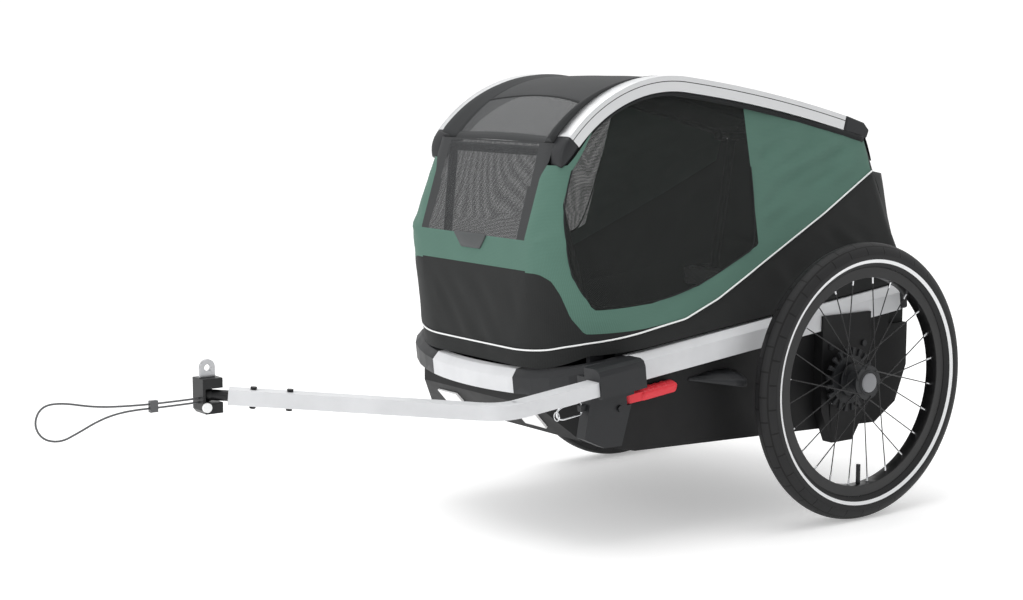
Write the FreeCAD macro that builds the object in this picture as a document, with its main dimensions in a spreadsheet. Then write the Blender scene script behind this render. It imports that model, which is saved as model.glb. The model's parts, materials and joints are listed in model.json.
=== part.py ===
import FreeCAD, Part
import math
import os
import re
import Sketcher
from types import SimpleNamespace

# Dog bike trailer. Millimetres, +X to the rear, +Y to the trailer's right, +Z up.
# The origin is on the ground under the middle of the trailer's box.
# Left pieces are built first, and right ones mirror them.

DIMENSIONS = (
    # Wheels
    ("tyre_radius", 250.0, "outside radius of the tyre"),
    ("tyre_section", 47.0, "width of the tyre's section"),
    ("wheel_outset", 55.0, "frame's outside to the wheels' middle planes"),
    ("rim_seat", 4.0, "depth of the tyre's bead in the rim"),
    ("rim_depth", 19.0, "radial depth of the rim"),
    ("rim_width", 26.0, "width of the rim"),
    ("spoke_diameter", 2.0, "spoke wire"),
    ("spoke_circle", 26.0, "radius of the spoke holes in the flange"),
    ("spoke_lead", 55.0, "angle between a spoke's two ends"),
    ("hub_barrel", 17.0, "radius of the hub between its flanges"),
    ("hub_flange", 31.0, "radius of the flanges"),
    ("flange_thickness", 4.0, "thickness of a flange"),
    ("flange_spacing", 34.0, "distance between the flanges' middles"),
    ("hub_inner_end", 30.0, "wheel plane to the hub's inner end"),
    ("hub_outer_end", 21.0, "wheel plane to the hub's outer face"),
    ("hub_cap", 22.0, "radius of the hub's outer end"),
    ("axle_diameter", 12.0, "plug-in wheel axle"),
    ("axle_grip", 26.0, "length of the axle inside the hub"),
    ("button_diameter", 35.0, "release button"),
    ("button_thickness", 8.0, "release button"),
    ("button_proud", 4.0, "button in front of the hub's face"),
    ("button_travel", 4.0, "press of the button"),
    ("brake_ring", 58.0, "radius of the toothed brake ring"),
    ("brake_ring_thickness", 6.0, "thickness of the brake ring"),
    ("brake_slot_width", 9.6, "gap between two teeth"),
    ("brake_slot_depth", 14.0, "depth of a gap"),
    ("valve_diameter", 8.0, "valve stem"),
    ("valve_length", 36.0, "valve stem inside the rim"),
    # Frame
    ("frame_width", 570.0, "over the side tubes"),
    ("frame_slope", 6.3, "rise of the side tubes to the rear, degrees"),
    ("frame_over_axle", 115.0, "axle to the side tubes' middle line"),
    ("tube_height", 45.0, "side tube"),
    ("tube_width", 26.0, "side tube"),
    ("tube_wall", 2.5, "side tube"),
    ("tube_chamfer", 12.0, "outer upper edge of the side tube"),
    ("tube_front", 489.0, "side tube ahead of the axle"),
    ("tube_rear", 161.0, "side tube behind the axle"),
    ("rear_cap_length", 20.0, "plastic end of the side tube"),
    ("rear_cross_x", 119.0, "axle to the middle of the rear cross tube"),
    ("rear_cross_depth", 24.0, "rear cross tube, fore and aft"),
    ("rear_cross_height", 34.0, "rear cross tube"),
    ("bar_reach", 616.0, "axle to the middle of the front bar"),
    ("bar_bow", 586.0, "radius of the front bar's bow"),
    ("bar_half", 118.0, "half the front bar's length"),
    ("bar_height", 40.0, "front bar"),
    ("bar_depth", 27.0, "front bar"),
    ("bar_drop", 16.0, "front bar below the side tubes' line"),
    ("corner_pull", 77.0, "roundness of the front corner"),
    ("socket_length", 96.0, "arm socket"),
    ("socket_wall", 4.0, "arm socket"),
    ("socket_lip", 2.0, "arm socket's shell above the side tube"),
    ("socket_lap", 6.0, "arm socket's shell over the side tube"),
    ("socket_clearance", 0.4, "gap round the arm in its socket"),
    ("skirt_rear", 490.0, "axle to the rear edge of the plate under the arm socket"),
    ("skirt_length", 86.0, "upper edge of that plate"),
    ("skirt_drop", 120.0, "plate's lower edge below the side tubes' line"),
    ("skirt_thickness", 22.0, "plate under the arm socket"),
    # Tub
    ("tub_inset", 17.0, "side tube's face to the tub's side"),
    ("tub_wall", 4.0, "tub"),
    ("tub_floor", 150.0, "height of the tub's underside at the rear"),
    ("tub_floor_front", 169.0, "height of the tub's underside at the front"),
    ("tub_nose", 594.0, "axle to the tub's front"),
    ("tub_nose_low", 242.0, "height where the tub's front starts to slope"),
    ("tub_ramp", 545.0, "axle to the foot of the tub's front"),
    ("tub_ramp_low", 188.0, "height of that foot"),
    ("tub_flat_front", 464.0, "axle to the front of the flat floor"),
    ("tub_flat_rear", 118.0, "axle to the rear of the flat floor"),
    ("tub_tail", 200.0, "axle to the tub's rear wall"),
    ("tub_tail_low", 252.0, "height where the rear wall starts"),
    ("tub_knee", 28.0, "rear wall to the knee below it"),
    ("tub_knee_height", 184.0, "height of that knee"),
    ("tub_tail_top", 332.0, "height of the rear wall's edge"),
    ("tub_corner", 92.0, "cut-off front corners of the tub"),
    ("mat_thickness", 8.0, "floor mat"),
    ("mat_margin", 12.0, "floor mat to the tub's walls"),
    ("reflector_width", 60.0, "front reflector"),
    ("reflector_height", 36.0, "front reflector"),
    ("reflector_thickness", 4.0, "front reflector"),
    ("reflector_side", 118.0, "middle plane to the reflector's middle"),
    ("guard_front", 347.0, "axle to the side guard's front"),
    ("guard_length", 116.0, "side guard"),
    ("guard_reach", 40.0, "side guard out from the tub"),
    ("guard_thickness", 25.0, "side guard"),
    ("guard_drop", 62.7, "side guard's underside below the side tubes' line"),
    # Axle carriers and brake
    ("carrier_thickness", 22.0, "axle carrier"),
    ("carrier_front", 46.0, "axle to the carrier's front edge"),
    ("carrier_rear", 78.0, "axle to the carrier's rear edge"),
    ("carrier_foot", 131.0, "height of the carrier's lower end"),
    ("running_gap", 0.05, "radial gap of a running fit"),
    ("brake_pin_circle", 51.0, "axle to the brake pin"),
    ("brake_pin_turn", 54.0, "brake pin below the forward level, degrees"),
    ("brake_pin_diameter", 8.0, "brake pin"),
    ("brake_pin_tip", 12.0, "pin's tip outside the carrier when off"),
    ("screw_head", 11.0, "diameter of the frame screws' heads"),
    ("screw_head_height", 4.0, "height of the frame screws' heads"),
    ("pedal_width", 90.0, "brake pedal"),
    ("pedal_length", 34.0, "brake pedal"),
    ("pedal_thickness", 9.0, "brake pedal"),
    ("pedal_height", 292.0, "height of the brake pedal's pivot"),
    ("pedal_pin", 8.0, "diameter of the pedal's pivot"),
    # Release levers and bail
    ("lever_length", 99.0, "release lever from its pivot"),
    ("lever_width", 19.0, "release lever"),
    ("lever_thickness", 15.0, "release lever"),
    ("lever_drop", 47.0, "lever's middle below the side tubes' line"),
    ("lever_pin", 6.0, "lever's pivot pin"),
    ("bail_wire", 3.4, "wire of the bail"),
    ("bail_height", 21.0, "distance between the bail's legs"),
    ("bail_length", 40.0, "length of the bail's legs"),
    # Tow arm
    ("arm_width", 30.0, "tow arm tube"),
    ("arm_height", 24.0, "tow arm tube"),
    ("arm_wall", 2.5, "tow arm tube"),
    ("arm_outside", 16.0, "side tube's face to the arm's middle"),
    ("arm_drop", 8.0, "arm's line below the side tubes' line"),
    ("arm_insert", 90.0, "length of the arm inside its socket"),
    ("arm_bend", 760.0, "axle to the arm's bend"),
    ("arm_bend_radius", 130.0, "radius of the bend"),
    ("arm_tip_reach", 1129.0, "axle to the arm's front end"),
    ("arm_tip_side", 86.0, "middle plane to the arm's front end"),
    ("arm_tip_height", 309.0, "height of the arm's front end"),
    ("arm_bolt", 6.0, "through-bolts of the arm"),
    ("arm_bolt_head", 10.0, "diameter of the bolts' heads"),
    ("arm_bolt_first", 38.0, "arm's front end to the first bolt"),
    ("arm_bolt_pitch", 56.0, "distance between the bolts"),
    # Hitch
    ("stem_reach", 32.0, "arm's front end to the ball"),
    ("stem_diameter", 17.0, "ball stem"),
    ("stem_plug", 112.0, "stem inside the arm"),
    ("ball_diameter", 22.0, "hitch ball"),
    ("cup_front", 16.0, "ball to the cup's front face"),
    ("cup_rear", 18.0, "ball to the cup's rear face"),
    ("cup_top", 27.0, "ball to the cup's top"),
    ("cup_bottom", 28.0, "ball to the cup's underside"),
    ("cup_width", 35.0, "hitch cup"),
    ("cup_gap", 0.3, "ball to the cup"),
    ("king_pin", 6.0, "pin through the ball"),
    ("plate_radius", 13.0, "axle plate"),
    ("plate_hole", 10.2, "hole for the bicycle's axle"),
    ("plate_thickness", 5.0, "axle plate"),
    ("plate_rise", 42.0, "ball to the axle plate's hole"),
    ("lock_pin", 6.0, "retaining pin"),
    ("lock_pin_head", 15.0, "retaining pin's head"),
    ("lock_pin_front", 10.5, "ball to the retaining pin"),
    ("lock_pin_drop", 17.0, "ball to the retaining pin"),
    ("cable_diameter", 3.2, "safety cable"),
    ("plug_gap", 0.5, "stem's plug to the arm's inside"),
    ("ferrule_place", 74.5, "cup's front face to the ferrule's middle"),
    ("ferrule_height", 18.0, "cable ferrule"),
    ("mat_gap", 0.4, "mat to the tub's floor"),
    ("ferrule_length", 13.0, "cable ferrule"),
    ("ferrule_depth", 8.0, "cable ferrule"),
    # Roof frame and hoops
    ("rail_start_x", 549.0, "axle to the rails' front end"),
    ("rail_start_z", 695.0, "height of the rails' front end"),
    ("rail_front_angle", 48.0, "rails' slope at the front, degrees"),
    ("rail_crown_angle", 7.0, "downward slope behind the crown, degrees"),
    ("rail_rear_angle", 14.6, "downward slope at the rear, degrees"),
    ("rail_front_radius", 300.0, "radius of the front bend"),
    ("rail_rear_radius", 3000.0, "radius of the long rear bend"),
    ("rail_inset", 107.0, "rails' middles inside the side tubes' outer faces"),
    ("rail_width", 34.0, "roof rail"),
    ("rail_height", 27.0, "roof rail"),
    ("rail_wall", 2.5, "roof rail"),
    ("cap_length", 46.0, "front rail cap"),
    ("cap_margin", 1.0, "rail caps outside the rail"),
    ("tail_length", 66.0, "rear rail cap"),
    ("pivot_back", 22.0, "rail's end to the hoop's pivot"),
    ("rear_pivot_back", 34.0, "rail's rear end to the rear hoop's pivot"),
    ("lug_width", 20.0, "lug of the rear rail cap"),
    ("front_pivot_depth", 15.0, "front pivot below the rail's top"),
    ("rear_pivot_depth", 42.0, "rear pivot below the rail's top"),
    ("hoop_pin", 10.0, "hoops' pivot pins"),
    ("pin_end_room", 1.0, "room past the pins' ends in the front caps"),
    ("hoop_tube", 16.0, "hoop tubes"),
    ("hoop_top_inset", 40.0, "rails' middle lines to the hoops' corners"),
    ("hoop_foot_inset", 63.0, "frame's outside to the hoops' feet"),
    ("hoop_foot_z", 354.0, "height of the front hoop's foot pivot"),
    ("hoop_lean", 28.0, "hoop's top ahead of its foot"),
    ("eye_radius", 12.0, "eye at the hoops' feet"),
    ("eye_width", 14.0, "eye at the hoops' feet"),
    ("open_pivot_gap", 0.4, "radial gap at the rear pivot"),
    ("bracket_thickness", 9.0, "fold bracket"),
    ("bracket_width", 30.0, "fold bracket"),
    ("cross_bar", 14.0, "roof cross bar"),
    ("canopy_crown", 5.0, "rise of the roof cloth between the rails"),
    ("canopy_depth", 6.0, "roof cloth's edge below the rails' top"),
    ("cloth", 3.0, "thickness of the cloth shells"),
    ("cloth_gap", 1.5, "cloth to what carries it"),
    # Cabin cloth
    ("cloth_top_inset", 14.1, "rails' middles to the sides' upper end"),
    ("front_foot_x", 603.0, "axle to the cloth's front at the hem"),
    ("front_belly_x", 613.0, "axle to the cloth's front at the belly"),
    ("front_top_x", 560.0, "axle to the cloth's front at the top"),
    ("belly_height", 524.0, "height of the belly seam"),
    ("band_height", 473.0, "lower edge of the front band"),
    ("cloth_top", 800.0, "height where the sides would end"),
    ("front_round_low", 185.0, "front corner's radius at the hem"),
    ("front_round_belly", 80.0, "front corner's radius at the belly"),
    ("front_round_top", 24.0, "front corner's radius at the top"),
    ("rear_foot_x", 206.0, "axle to the cloth's rear at the hem"),
    ("rear_belly_x", 188.0, "axle to the cloth's rear at the belly"),
    ("rear_pouch_x", 208.0, "axle to the cloth's rear where it bulges"),
    ("pouch_height", 452.0, "height of the rear bulge"),
    ("rear_top_x", 140.0, "axle to the cloth's rear at the top"),
    ("rear_round", 30.0, "rear corner's radius"),
    ("hem_lift", 5.2, "hem above the front bar's curved corners"),
    ("mesh_inset", 24.0, "rails' middle lines to the front panels' edges"),
    ("mesh_top", 684.0, "upper edge of the front mesh"),
    ("pillar_top", 648.0, "upper edge of the front pillars"),
    ("rear_split", 150.0, "axle to the seam of the rear panel"),
)

# Number of spokes in a wheel and of gaps in the brake ring; both divide by four.
SPOKES = 24
BRAKE_GAPS = 20

Vector = FreeCAD.Vector
Placement = FreeCAD.Placement
Rotation = FreeCAD.Rotation
X_AXIS = Vector(1, 0, 0)
Y_AXIS = Vector(0, 1, 0)
Z_AXIS = Vector(0, 0, 1)
ALIASES = {alias for alias, value, note in DIMENSIONS}

doc = FreeCAD.newDocument("DogBikeTrailer")
sheet = doc.addObject("Spreadsheet::Sheet", "Dimensions")
for row, (alias, value, note) in enumerate(DIMENSIONS, start=1):
    sheet.set(f"A{row}", note)
    sheet.set(f"B{row}", str(value))
    sheet.setAlias(f"B{row}", alias)
doc.recompute()
d = SimpleNamespace(**{alias: float(sheet.get(alias)) for alias in ALIASES})
nodes = []


def cells(formula):
    """Formula in which each size's name is a reference to its cell."""
    return re.sub(r"[a-z][a-z_]+", lambda word: cell_name(word.group()), formula)


def cell_name(word):
    return f"Dimensions.{word}" if word in ALIASES else word


def bind(piece, **formulas):
    for name, formula in formulas.items():
        piece.setExpression(name, cells(formula))
    return piece


def node(piece, label):
    """Keep a finished piece as a sub-part under its own label."""
    piece.Label = label
    nodes.append(piece)
    return piece


def turned(base, axis, degrees):
    return Placement(base, Rotation(axis, degrees))


def rod(start, along, radius, length):
    """Cylinder from a point along a direction; radius and length are formulas."""
    piece = bind(doc.addObject("Part::Cylinder", "Rod"), Radius=radius, Height=length)
    piece.Placement = Placement(start, Rotation(Z_AXIS, along))
    return piece


def block(corner, length, width, height, frame=Placement()):
    """Box from its lowest corner in a frame; the three sizes are formulas."""
    piece = bind(doc.addObject("Part::Box", "Block"), Length=length, Width=width, Height=height)
    piece.Placement = frame.multiply(Placement(corner, Rotation()))
    return piece


def joined(*pieces):
    piece = doc.addObject("Part::MultiFuse", "Joined")
    piece.Shapes = list(pieces)
    return piece


def minus(base, *tools):
    piece = doc.addObject("Part::Cut", "Minus")
    piece.Base = base
    piece.Tool = tools[0] if len(tools) == 1 else joined(*tools)
    return piece


def within(base, tool):
    piece = doc.addObject("Part::Common", "Within")
    piece.Base = base
    piece.Tool = tool
    return piece


def group(*pieces):
    piece = doc.addObject("Part::Compound", "Group")
    piece.Links = list(pieces)
    return piece


def mirrored(piece):
    """The same piece on the trailer's other side."""
    twin = doc.addObject("Part::Mirroring", "Mirrored")
    twin.Source = piece
    twin.Normal = Y_AXIS
    return twin


def made(shape):
    piece = doc.addObject("Part::Feature", "Made")
    piece.Shape = shape
    return piece


def outline(sketch, corners):
    """Closed outline whose corners are pairs of formulas, each bound to the sheet."""
    count = len(corners)
    first = sketch.GeometryCount
    spots = [Rotation(Z_AXIS, 360.0 * k / count).multVec(Vector(50, 0, 0)) for k in range(count)]
    for k in range(count):
        sketch.addGeometry(Part.LineSegment(spots[k], spots[(k + 1) % count]))
    for k in range(count):
        sketch.addConstraint(Sketcher.Constraint("Coincident", first + k, 2, first + (k + 1) % count, 1))
    for k, (across, up) in enumerate(corners):
        for kind, formula, spot in (("DistanceX", across, spots[k].x), ("DistanceY", up, spots[k].y)):
            index = sketch.addConstraint(Sketcher.Constraint(kind, -1, 1, first + k, 1, spot))
            sketch.setExpression(f"Constraints[{index}]", cells(formula))


def origin_feature(body, role):
    return next(feature for feature in body.Origin.OriginFeatures if feature.Role == role)


def sketch_on(body, plane, *outlines):
    sketch = body.newObject("Sketcher::SketchObject", "Sketch")
    sketch.AttachmentSupport = (origin_feature(body, plane), [""])
    sketch.MapMode = "FlatFace"
    for corners in outlines:
        outline(sketch, corners)
    doc.recompute()
    return sketch


def pad_body(plane, length, *outlines, side="Symmetric"):
    """Body padded from one outline, or from an outline and the holes in it."""
    body = doc.addObject("PartDesign::Body", "Body")
    pad = body.newObject("PartDesign::Pad", "Pad")
    pad.Profile = sketch_on(body, plane, *outlines)
    pad.SideType = side
    bind(pad, Length=length)
    body.Tip = pad
    return body


def turned_body(plane, corners, degrees=360.0):
    """Body turned about its sketch's vertical axis."""
    body = doc.addObject("PartDesign::Body", "Body")
    turn = body.newObject("PartDesign::Revolution", "Turn")
    turn.Profile = sketch_on(body, plane, corners)
    turn.ReferenceAxis = (turn.Profile[0], ["V_Axis"])
    turn.Midplane = True
    turn.Angle = degrees
    body.Tip = turn
    return body


def rectangle(left, low, right, high):
    return [(left, low), (right, low), (right, high), (left, high)]


# Places that several pieces share. Distances ahead of the axle are negative.
HALF_FRAME = d.frame_width / 2
HALF_TRACK = HALF_FRAME + d.wheel_outset
RIM_RADIUS = d.tyre_radius - d.tyre_section + d.rim_seat
HOOP_FOOT_HALF = HALF_FRAME - d.hoop_foot_inset
HALF_TUBE = d.tube_height / 2
HALF_SPREAD = HALF_FRAME - d.rail_inset
SPREAD = "(frame_width - 2 * rail_inset)"
SLOPE = math.radians(d.frame_slope)
TUB_SIDE = HALF_FRAME - d.tub_inset


def tube_line(x):
    """Height of the side tubes' middle line at a distance from the axle."""
    return d.tyre_radius + d.frame_over_axle + x * math.tan(SLOPE)


arm_side = HALF_FRAME + d.arm_outside
arm_bend_spot = Vector(-d.arm_bend, -arm_side, tube_line(-d.arm_bend) - d.arm_drop)
arm_tip_spot = Vector(-d.arm_tip_reach, -d.arm_tip_side, d.arm_tip_height)
arm_heading = (arm_tip_spot - arm_bend_spot).normalize()
ball_spot = arm_tip_spot + arm_heading * d.stem_reach
AXLE_X = (d.cup_front - ball_spot.x - d.tyre_radius) / 2


def at(x, y, z):
    """Point given by its distance from the axle, the middle plane and the ground."""
    return Vector(AXLE_X + x, y, z)


AXLE = at(0, 0, d.tyre_radius)
LEFT_WHEEL = at(0, -HALF_TRACK, d.tyre_radius)
FRAME = turned(AXLE + Vector(0, 0, d.frame_over_axle), Y_AXIS, -d.frame_slope)
BALL = at(*ball_spot)


def in_frame(x, y, z):
    """Point given along, across and above the sloping side tubes' line."""
    return FRAME.multVec(Vector(x, y, z))


# Wheels

def wheel_pieces():
    """Left wheel about its axle; outward is -Y."""
    outward = Vector(0, -1, 0)
    rim_size = "tyre_radius - tyre_section + rim_seat"
    inner_rim = rod(LEFT_WHEEL + Y_AXIS * d.tyre_section, outward, rim_size, "2 * tyre_section")
    torus = doc.addObject("Part::Torus", "Tyre")
    bind(torus, Radius1="tyre_radius - tyre_section / 2", Radius2="tyre_section / 2")
    torus.Placement = turned(LEFT_WHEEL, X_AXIS, 90)
    tyre = minus(torus, inner_rim)

    rim_face = LEFT_WHEEL + Y_AXIS * (d.rim_width / 2)
    rim = minus(
        rod(rim_face, outward, rim_size, "rim_width"),
        rod(rim_face, outward, f"{rim_size} - rim_depth", "rim_width"),
    )
    valve_foot = LEFT_WHEEL - Z_AXIS * (RIM_RADIUS - d.rim_depth)
    valve = rod(valve_foot, Z_AXIS, "valve_diameter / 2", "valve_length")
    axle_start = LEFT_WHEEL + outward * (d.axle_grip - d.hub_inner_end)
    axle_length = "axle_grip + wheel_outset - hub_inner_end + tub_inset"
    axle = rod(axle_start, Y_AXIS, "axle_diameter / 2", axle_length)
    button_face = "frame_width / 2 + wheel_outset + hub_outer_end + button_proud - button_thickness"
    button = rod(LEFT_WHEEL, outward, "button_diameter / 2", "button_thickness")
    button.setExpression(".Placement.Base.y", cells(f"-({button_face})"))
    return {
        "tyre": tyre,
        "rim": rim,
        "spokes": spokes(),
        "hub": hub(),
        "valve": valve,
        "wheel_axle": axle,
        "release_button": button,
    }


def hub():
    """Turned hub: brake ring at the inner end, two flanges, and a recess for the button."""
    bore = "axle_diameter / 2"
    inner = "-hub_inner_end"
    ring = "brake_ring_thickness - hub_inner_end"
    first = "-flange_spacing / 2"
    second = "flange_spacing / 2"
    half = "flange_thickness / 2"
    recess = "button_diameter / 2 + cup_gap"
    recess_floor = "hub_outer_end + button_proud - button_thickness - button_travel - cup_gap"
    body = turned_body("XY_Plane", [
        (bore, inner), ("brake_ring", inner), ("brake_ring", ring), ("hub_barrel", ring),
        ("hub_barrel", f"{first} - {half}"), ("hub_flange", f"{first} - {half}"),
        ("hub_flange", f"{first} + {half}"), ("hub_barrel", f"{first} + {half}"),
        ("hub_barrel", f"{recess_floor} - {half} * 2"), ("hub_cap", f"{recess_floor} - {half} * 2"),
        ("hub_cap", f"{second} - {half}"), ("hub_flange", f"{second} - {half}"),
        ("hub_flange", f"{second} + {half}"), ("hub_cap", f"{second} + {half}"),
        ("hub_cap", "hub_outer_end"), (recess, "hub_outer_end"),
        (recess, recess_floor), (bore, recess_floor),
    ])
    gap = body.newObject("PartDesign::Pocket", "BrakeGap")
    gap.Profile = sketch_on(body, "XZ_Plane", rectangle(
        "brake_ring - brake_slot_depth", "-brake_slot_width / 2",
        "brake_ring + 1", "brake_slot_width / 2"))
    gap.SideType = "Symmetric"
    bind(gap, Length="2 * hub_inner_end + 2")
    doc.recompute()
    gaps = body.newObject("PartDesign::PolarPattern", "BrakeGaps")
    gaps.Originals = [gap]
    gaps.Axis = (origin_feature(body, "Y_Axis"), [""])
    gaps.Angle = 360
    gaps.Occurrences = BRAKE_GAPS
    body.Tip = gaps
    facing = Rotation(Z_AXIS, 180)
    body.Placement = Placement(LEFT_WHEEL, Rotation(Y_AXIS, -d.brake_pin_turn).multiply(facing))
    return body


def spokes():
    """Crossed spokes from both flanges to the rim, each clear of the one that it crosses."""
    wires = []
    rim_reach = RIM_RADIUS - d.rim_depth
    for k in range(SPOKES):
        rim_turn = 360.0 * (k + 0.5) / SPOKES
        flange_side = 1 if k % 2 else -1
        lead_side = 1 if (k // 2) % 2 else -1
        face = d.flange_thickness / 2 + d.spoke_diameter / 2
        flange_y = flange_side * d.flange_spacing / 2 + lead_side * face
        hub_arm = Rotation(Y_AXIS, rim_turn + lead_side * d.spoke_lead).multVec(X_AXIS)
        rim_arm = Rotation(Y_AXIS, rim_turn).multVec(X_AXIS)
        start = LEFT_WHEEL + hub_arm * d.spoke_circle + Y_AXIS * flange_y
        run = LEFT_WHEEL + rim_arm * rim_reach - start
        wire = rod(start, run, "spoke_diameter / 2", "10")
        wire.Height = run.Length
        wire.setExpression("Height", None)
        wires.append(wire)
    return group(*wires)


# Frame

def tube_outline(inset):
    """Side tube's section on the left side, with its outer upper edge cut off."""
    inner = f"tube_width / 2 - {inset}"
    outer = f"{inset} - tube_width / 2"
    top = f"tube_height / 2 - {inset}"
    return [
        (outer, f"{inset} - tube_height / 2"), (inner, f"{inset} - tube_height / 2"), (inner, top),
        (f"tube_chamfer - tube_width / 2 + {inset} * 0.41", top),
        (outer, f"tube_height / 2 - tube_chamfer - {inset} * 0.41"),
    ]


def side_tube():
    length = "tube_front + tube_rear"
    body = pad_body("YZ_Plane", length, tube_outline("0"), tube_outline("tube_wall"), side="One side")
    middle = d.tube_width / 2 - HALF_FRAME
    body.Placement = FRAME.multiply(Placement(Vector(-d.tube_front, middle, 0), Rotation()))
    return body


def rear_corner():
    body = pad_body("YZ_Plane", "rear_cap_length", tube_outline("0"), side="One side")
    middle = d.tube_width / 2 - HALF_FRAME
    body.Placement = FRAME.multiply(Placement(Vector(d.tube_rear, middle, 0), Rotation()))
    return body


def rear_cross_tube():
    half_depth = "rear_cross_depth / 2"
    half_height = "rear_cross_height / 2"
    body = pad_body(
        "XZ_Plane", "frame_width - 2 * tube_width",
        rectangle(f"-{half_depth}", f"-{half_height}", half_depth, half_height),
        rectangle(f"tube_wall - {half_depth}", f"tube_wall - {half_height}",
                  f"{half_depth} - tube_wall", f"{half_height} - tube_wall"),
    )
    body.Placement = FRAME.multiply(Placement(Vector(d.rear_cross_x, 0, 0), Rotation()))
    return body


def front_bar():
    """Bowed bar between the two front corners."""
    inner = "bar_bow - bar_depth / 2"
    outer = "bar_bow + bar_depth / 2"
    low = "-bar_height / 2"
    high = "bar_height / 2"
    degrees = 2 * math.degrees(math.asin(d.bar_half / d.bar_bow))
    body = turned_body("XZ_Plane", [
        (inner, low), (outer, low), (outer, "bar_height / 2 - tube_chamfer"),
        (f"{outer} - tube_chamfer", high), (inner, high),
    ], degrees)
    spot = Vector(d.bar_bow - d.bar_reach, 0, -d.bar_drop)
    body.Placement = FRAME.multiply(turned(spot, Z_AXIS, 180))
    return body


def corner_path(share):
    """Point and heading of the left front corner's middle line, in the sloping frame."""
    turn = math.asin(d.bar_half / d.bar_bow)
    start = Vector(d.bar_bow * (1 - math.cos(turn)) - d.bar_reach, -d.bar_half, -d.bar_drop)
    end = Vector(-d.tube_front, d.tube_width / 2 - HALF_FRAME, 0)
    pulls = (start, start + Vector(math.sin(turn), -math.cos(turn), 0) * d.corner_pull,
             end - X_AXIS * d.corner_pull, end)
    rest = 1 - share
    weights = (rest ** 3, 3 * rest ** 2 * share, 3 * rest * share ** 2, share ** 3)
    slopes = (-3 * rest ** 2, 3 * rest ** 2 - 6 * rest * share,
              6 * rest * share - 3 * share ** 2, 3 * share ** 2)
    spot = Vector(0, 0, 0)
    heading = Vector(0, 0, 0)
    for pull, weight, slope in zip(pulls, weights, slopes):
        spot += pull * weight
        heading += pull * slope
    heading.z = 0
    return spot, heading.normalize()


def corner_section(share):
    """Five-sided section across the corner: the bar's at its front end, the tube's at its rear."""
    spot, heading = corner_path(share)
    outside = heading.cross(Z_AXIS) * -1
    depth = d.bar_depth + (d.tube_width - d.bar_depth) * share
    height = d.bar_height + (d.tube_height - d.bar_height) * share
    corners = ((-depth / 2, -height / 2), (depth / 2, -height / 2),
               (depth / 2, height / 2 - d.tube_chamfer), (depth / 2 - d.tube_chamfer, height / 2),
               (-depth / 2, height / 2))
    points = [spot - outside * across + Z_AXIS * up for across, up in corners]
    return Part.makePolygon(points + points[:1])


SOCKET_FRONT = -d.tube_front - d.socket_length
PLATE_MIDDLE = -TUB_SIDE - d.skirt_thickness / 2
LEVER_SPOT = Vector(-d.skirt_rear - d.lever_width * 0.42, PLATE_MIDDLE, -d.lever_drop)
BAIL_SPOT = Vector(-d.skirt_rear - d.skirt_length - d.bail_height, PLATE_MIDDLE,
                   d.bail_height / 4 - d.lever_drop)


def corner_sweep():
    """Left corner moulding between the front bar and the side tube."""
    sweep = made(Part.makeLoft([corner_section(k / 6) for k in range(7)], True, True))
    sweep.Placement = FRAME
    return sweep


def arm_socket():
    """Square socket outside the left corner, in a shell as high as the side tube."""
    outer = arm_side + d.arm_width / 2 + d.socket_clearance + d.socket_wall
    low = -d.arm_drop - d.arm_height / 2 - d.socket_clearance - d.socket_wall
    square = block(
        Vector(SOCKET_FRONT, -outer, low), "socket_length",
        "arm_width / 2 + arm_outside + socket_clearance + socket_wall + tube_width",
        "arm_height + 2 * socket_clearance + 2 * socket_wall", FRAME)
    face = "-frame_width / 2 - arm_outside - arm_width / 2 - socket_clearance - socket_wall"
    foot = "-arm_drop - arm_height / 2 - socket_clearance - socket_wall"
    inner = "socket_lap - frame_width / 2"
    top = "tube_height / 2 + socket_lip"
    shell = pad_body("YZ_Plane", "socket_length", [
        (face, foot), (inner, foot), (inner, top), (f"{face} + tube_chamfer", top),
        (f"{face} + tube_chamfer * 0.3", f"{top} - tube_chamfer * 0.3"), (face, f"{top} - tube_chamfer"),
    ], side="One side")
    shell.Placement = FRAME.multiply(Placement(X_AXIS * SOCKET_FRONT, Rotation()))
    return joined(square, shell)


def socket_bore():
    side = -arm_side - d.arm_width / 2 - d.socket_clearance
    low = -d.arm_drop - d.arm_height / 2 - d.socket_clearance
    return block(
        Vector(SOCKET_FRONT - d.skirt_length, side, low), "socket_length - socket_wall + skirt_length",
        "arm_width + 2 * socket_clearance", "arm_height + 2 * socket_clearance", FRAME)


def skirt():
    """Plate that hangs under the arm's socket."""
    front = "-skirt_rear - skirt_length"
    body = pad_body("XZ_Plane", "skirt_thickness", [
        (front, "0"), ("-skirt_rear", "0"), ("-skirt_rear - 3", "-lever_drop * 0.8"),
        ("-skirt_rear - 38", "-skirt_drop"), (f"{front} + 12", "4 - skirt_drop"),
        (f"{front} - 28", "28 - skirt_drop"),
    ])
    body.Placement = FRAME.multiply(Placement(Y_AXIS * PLATE_MIDDLE, Rotation()))
    return body


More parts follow.
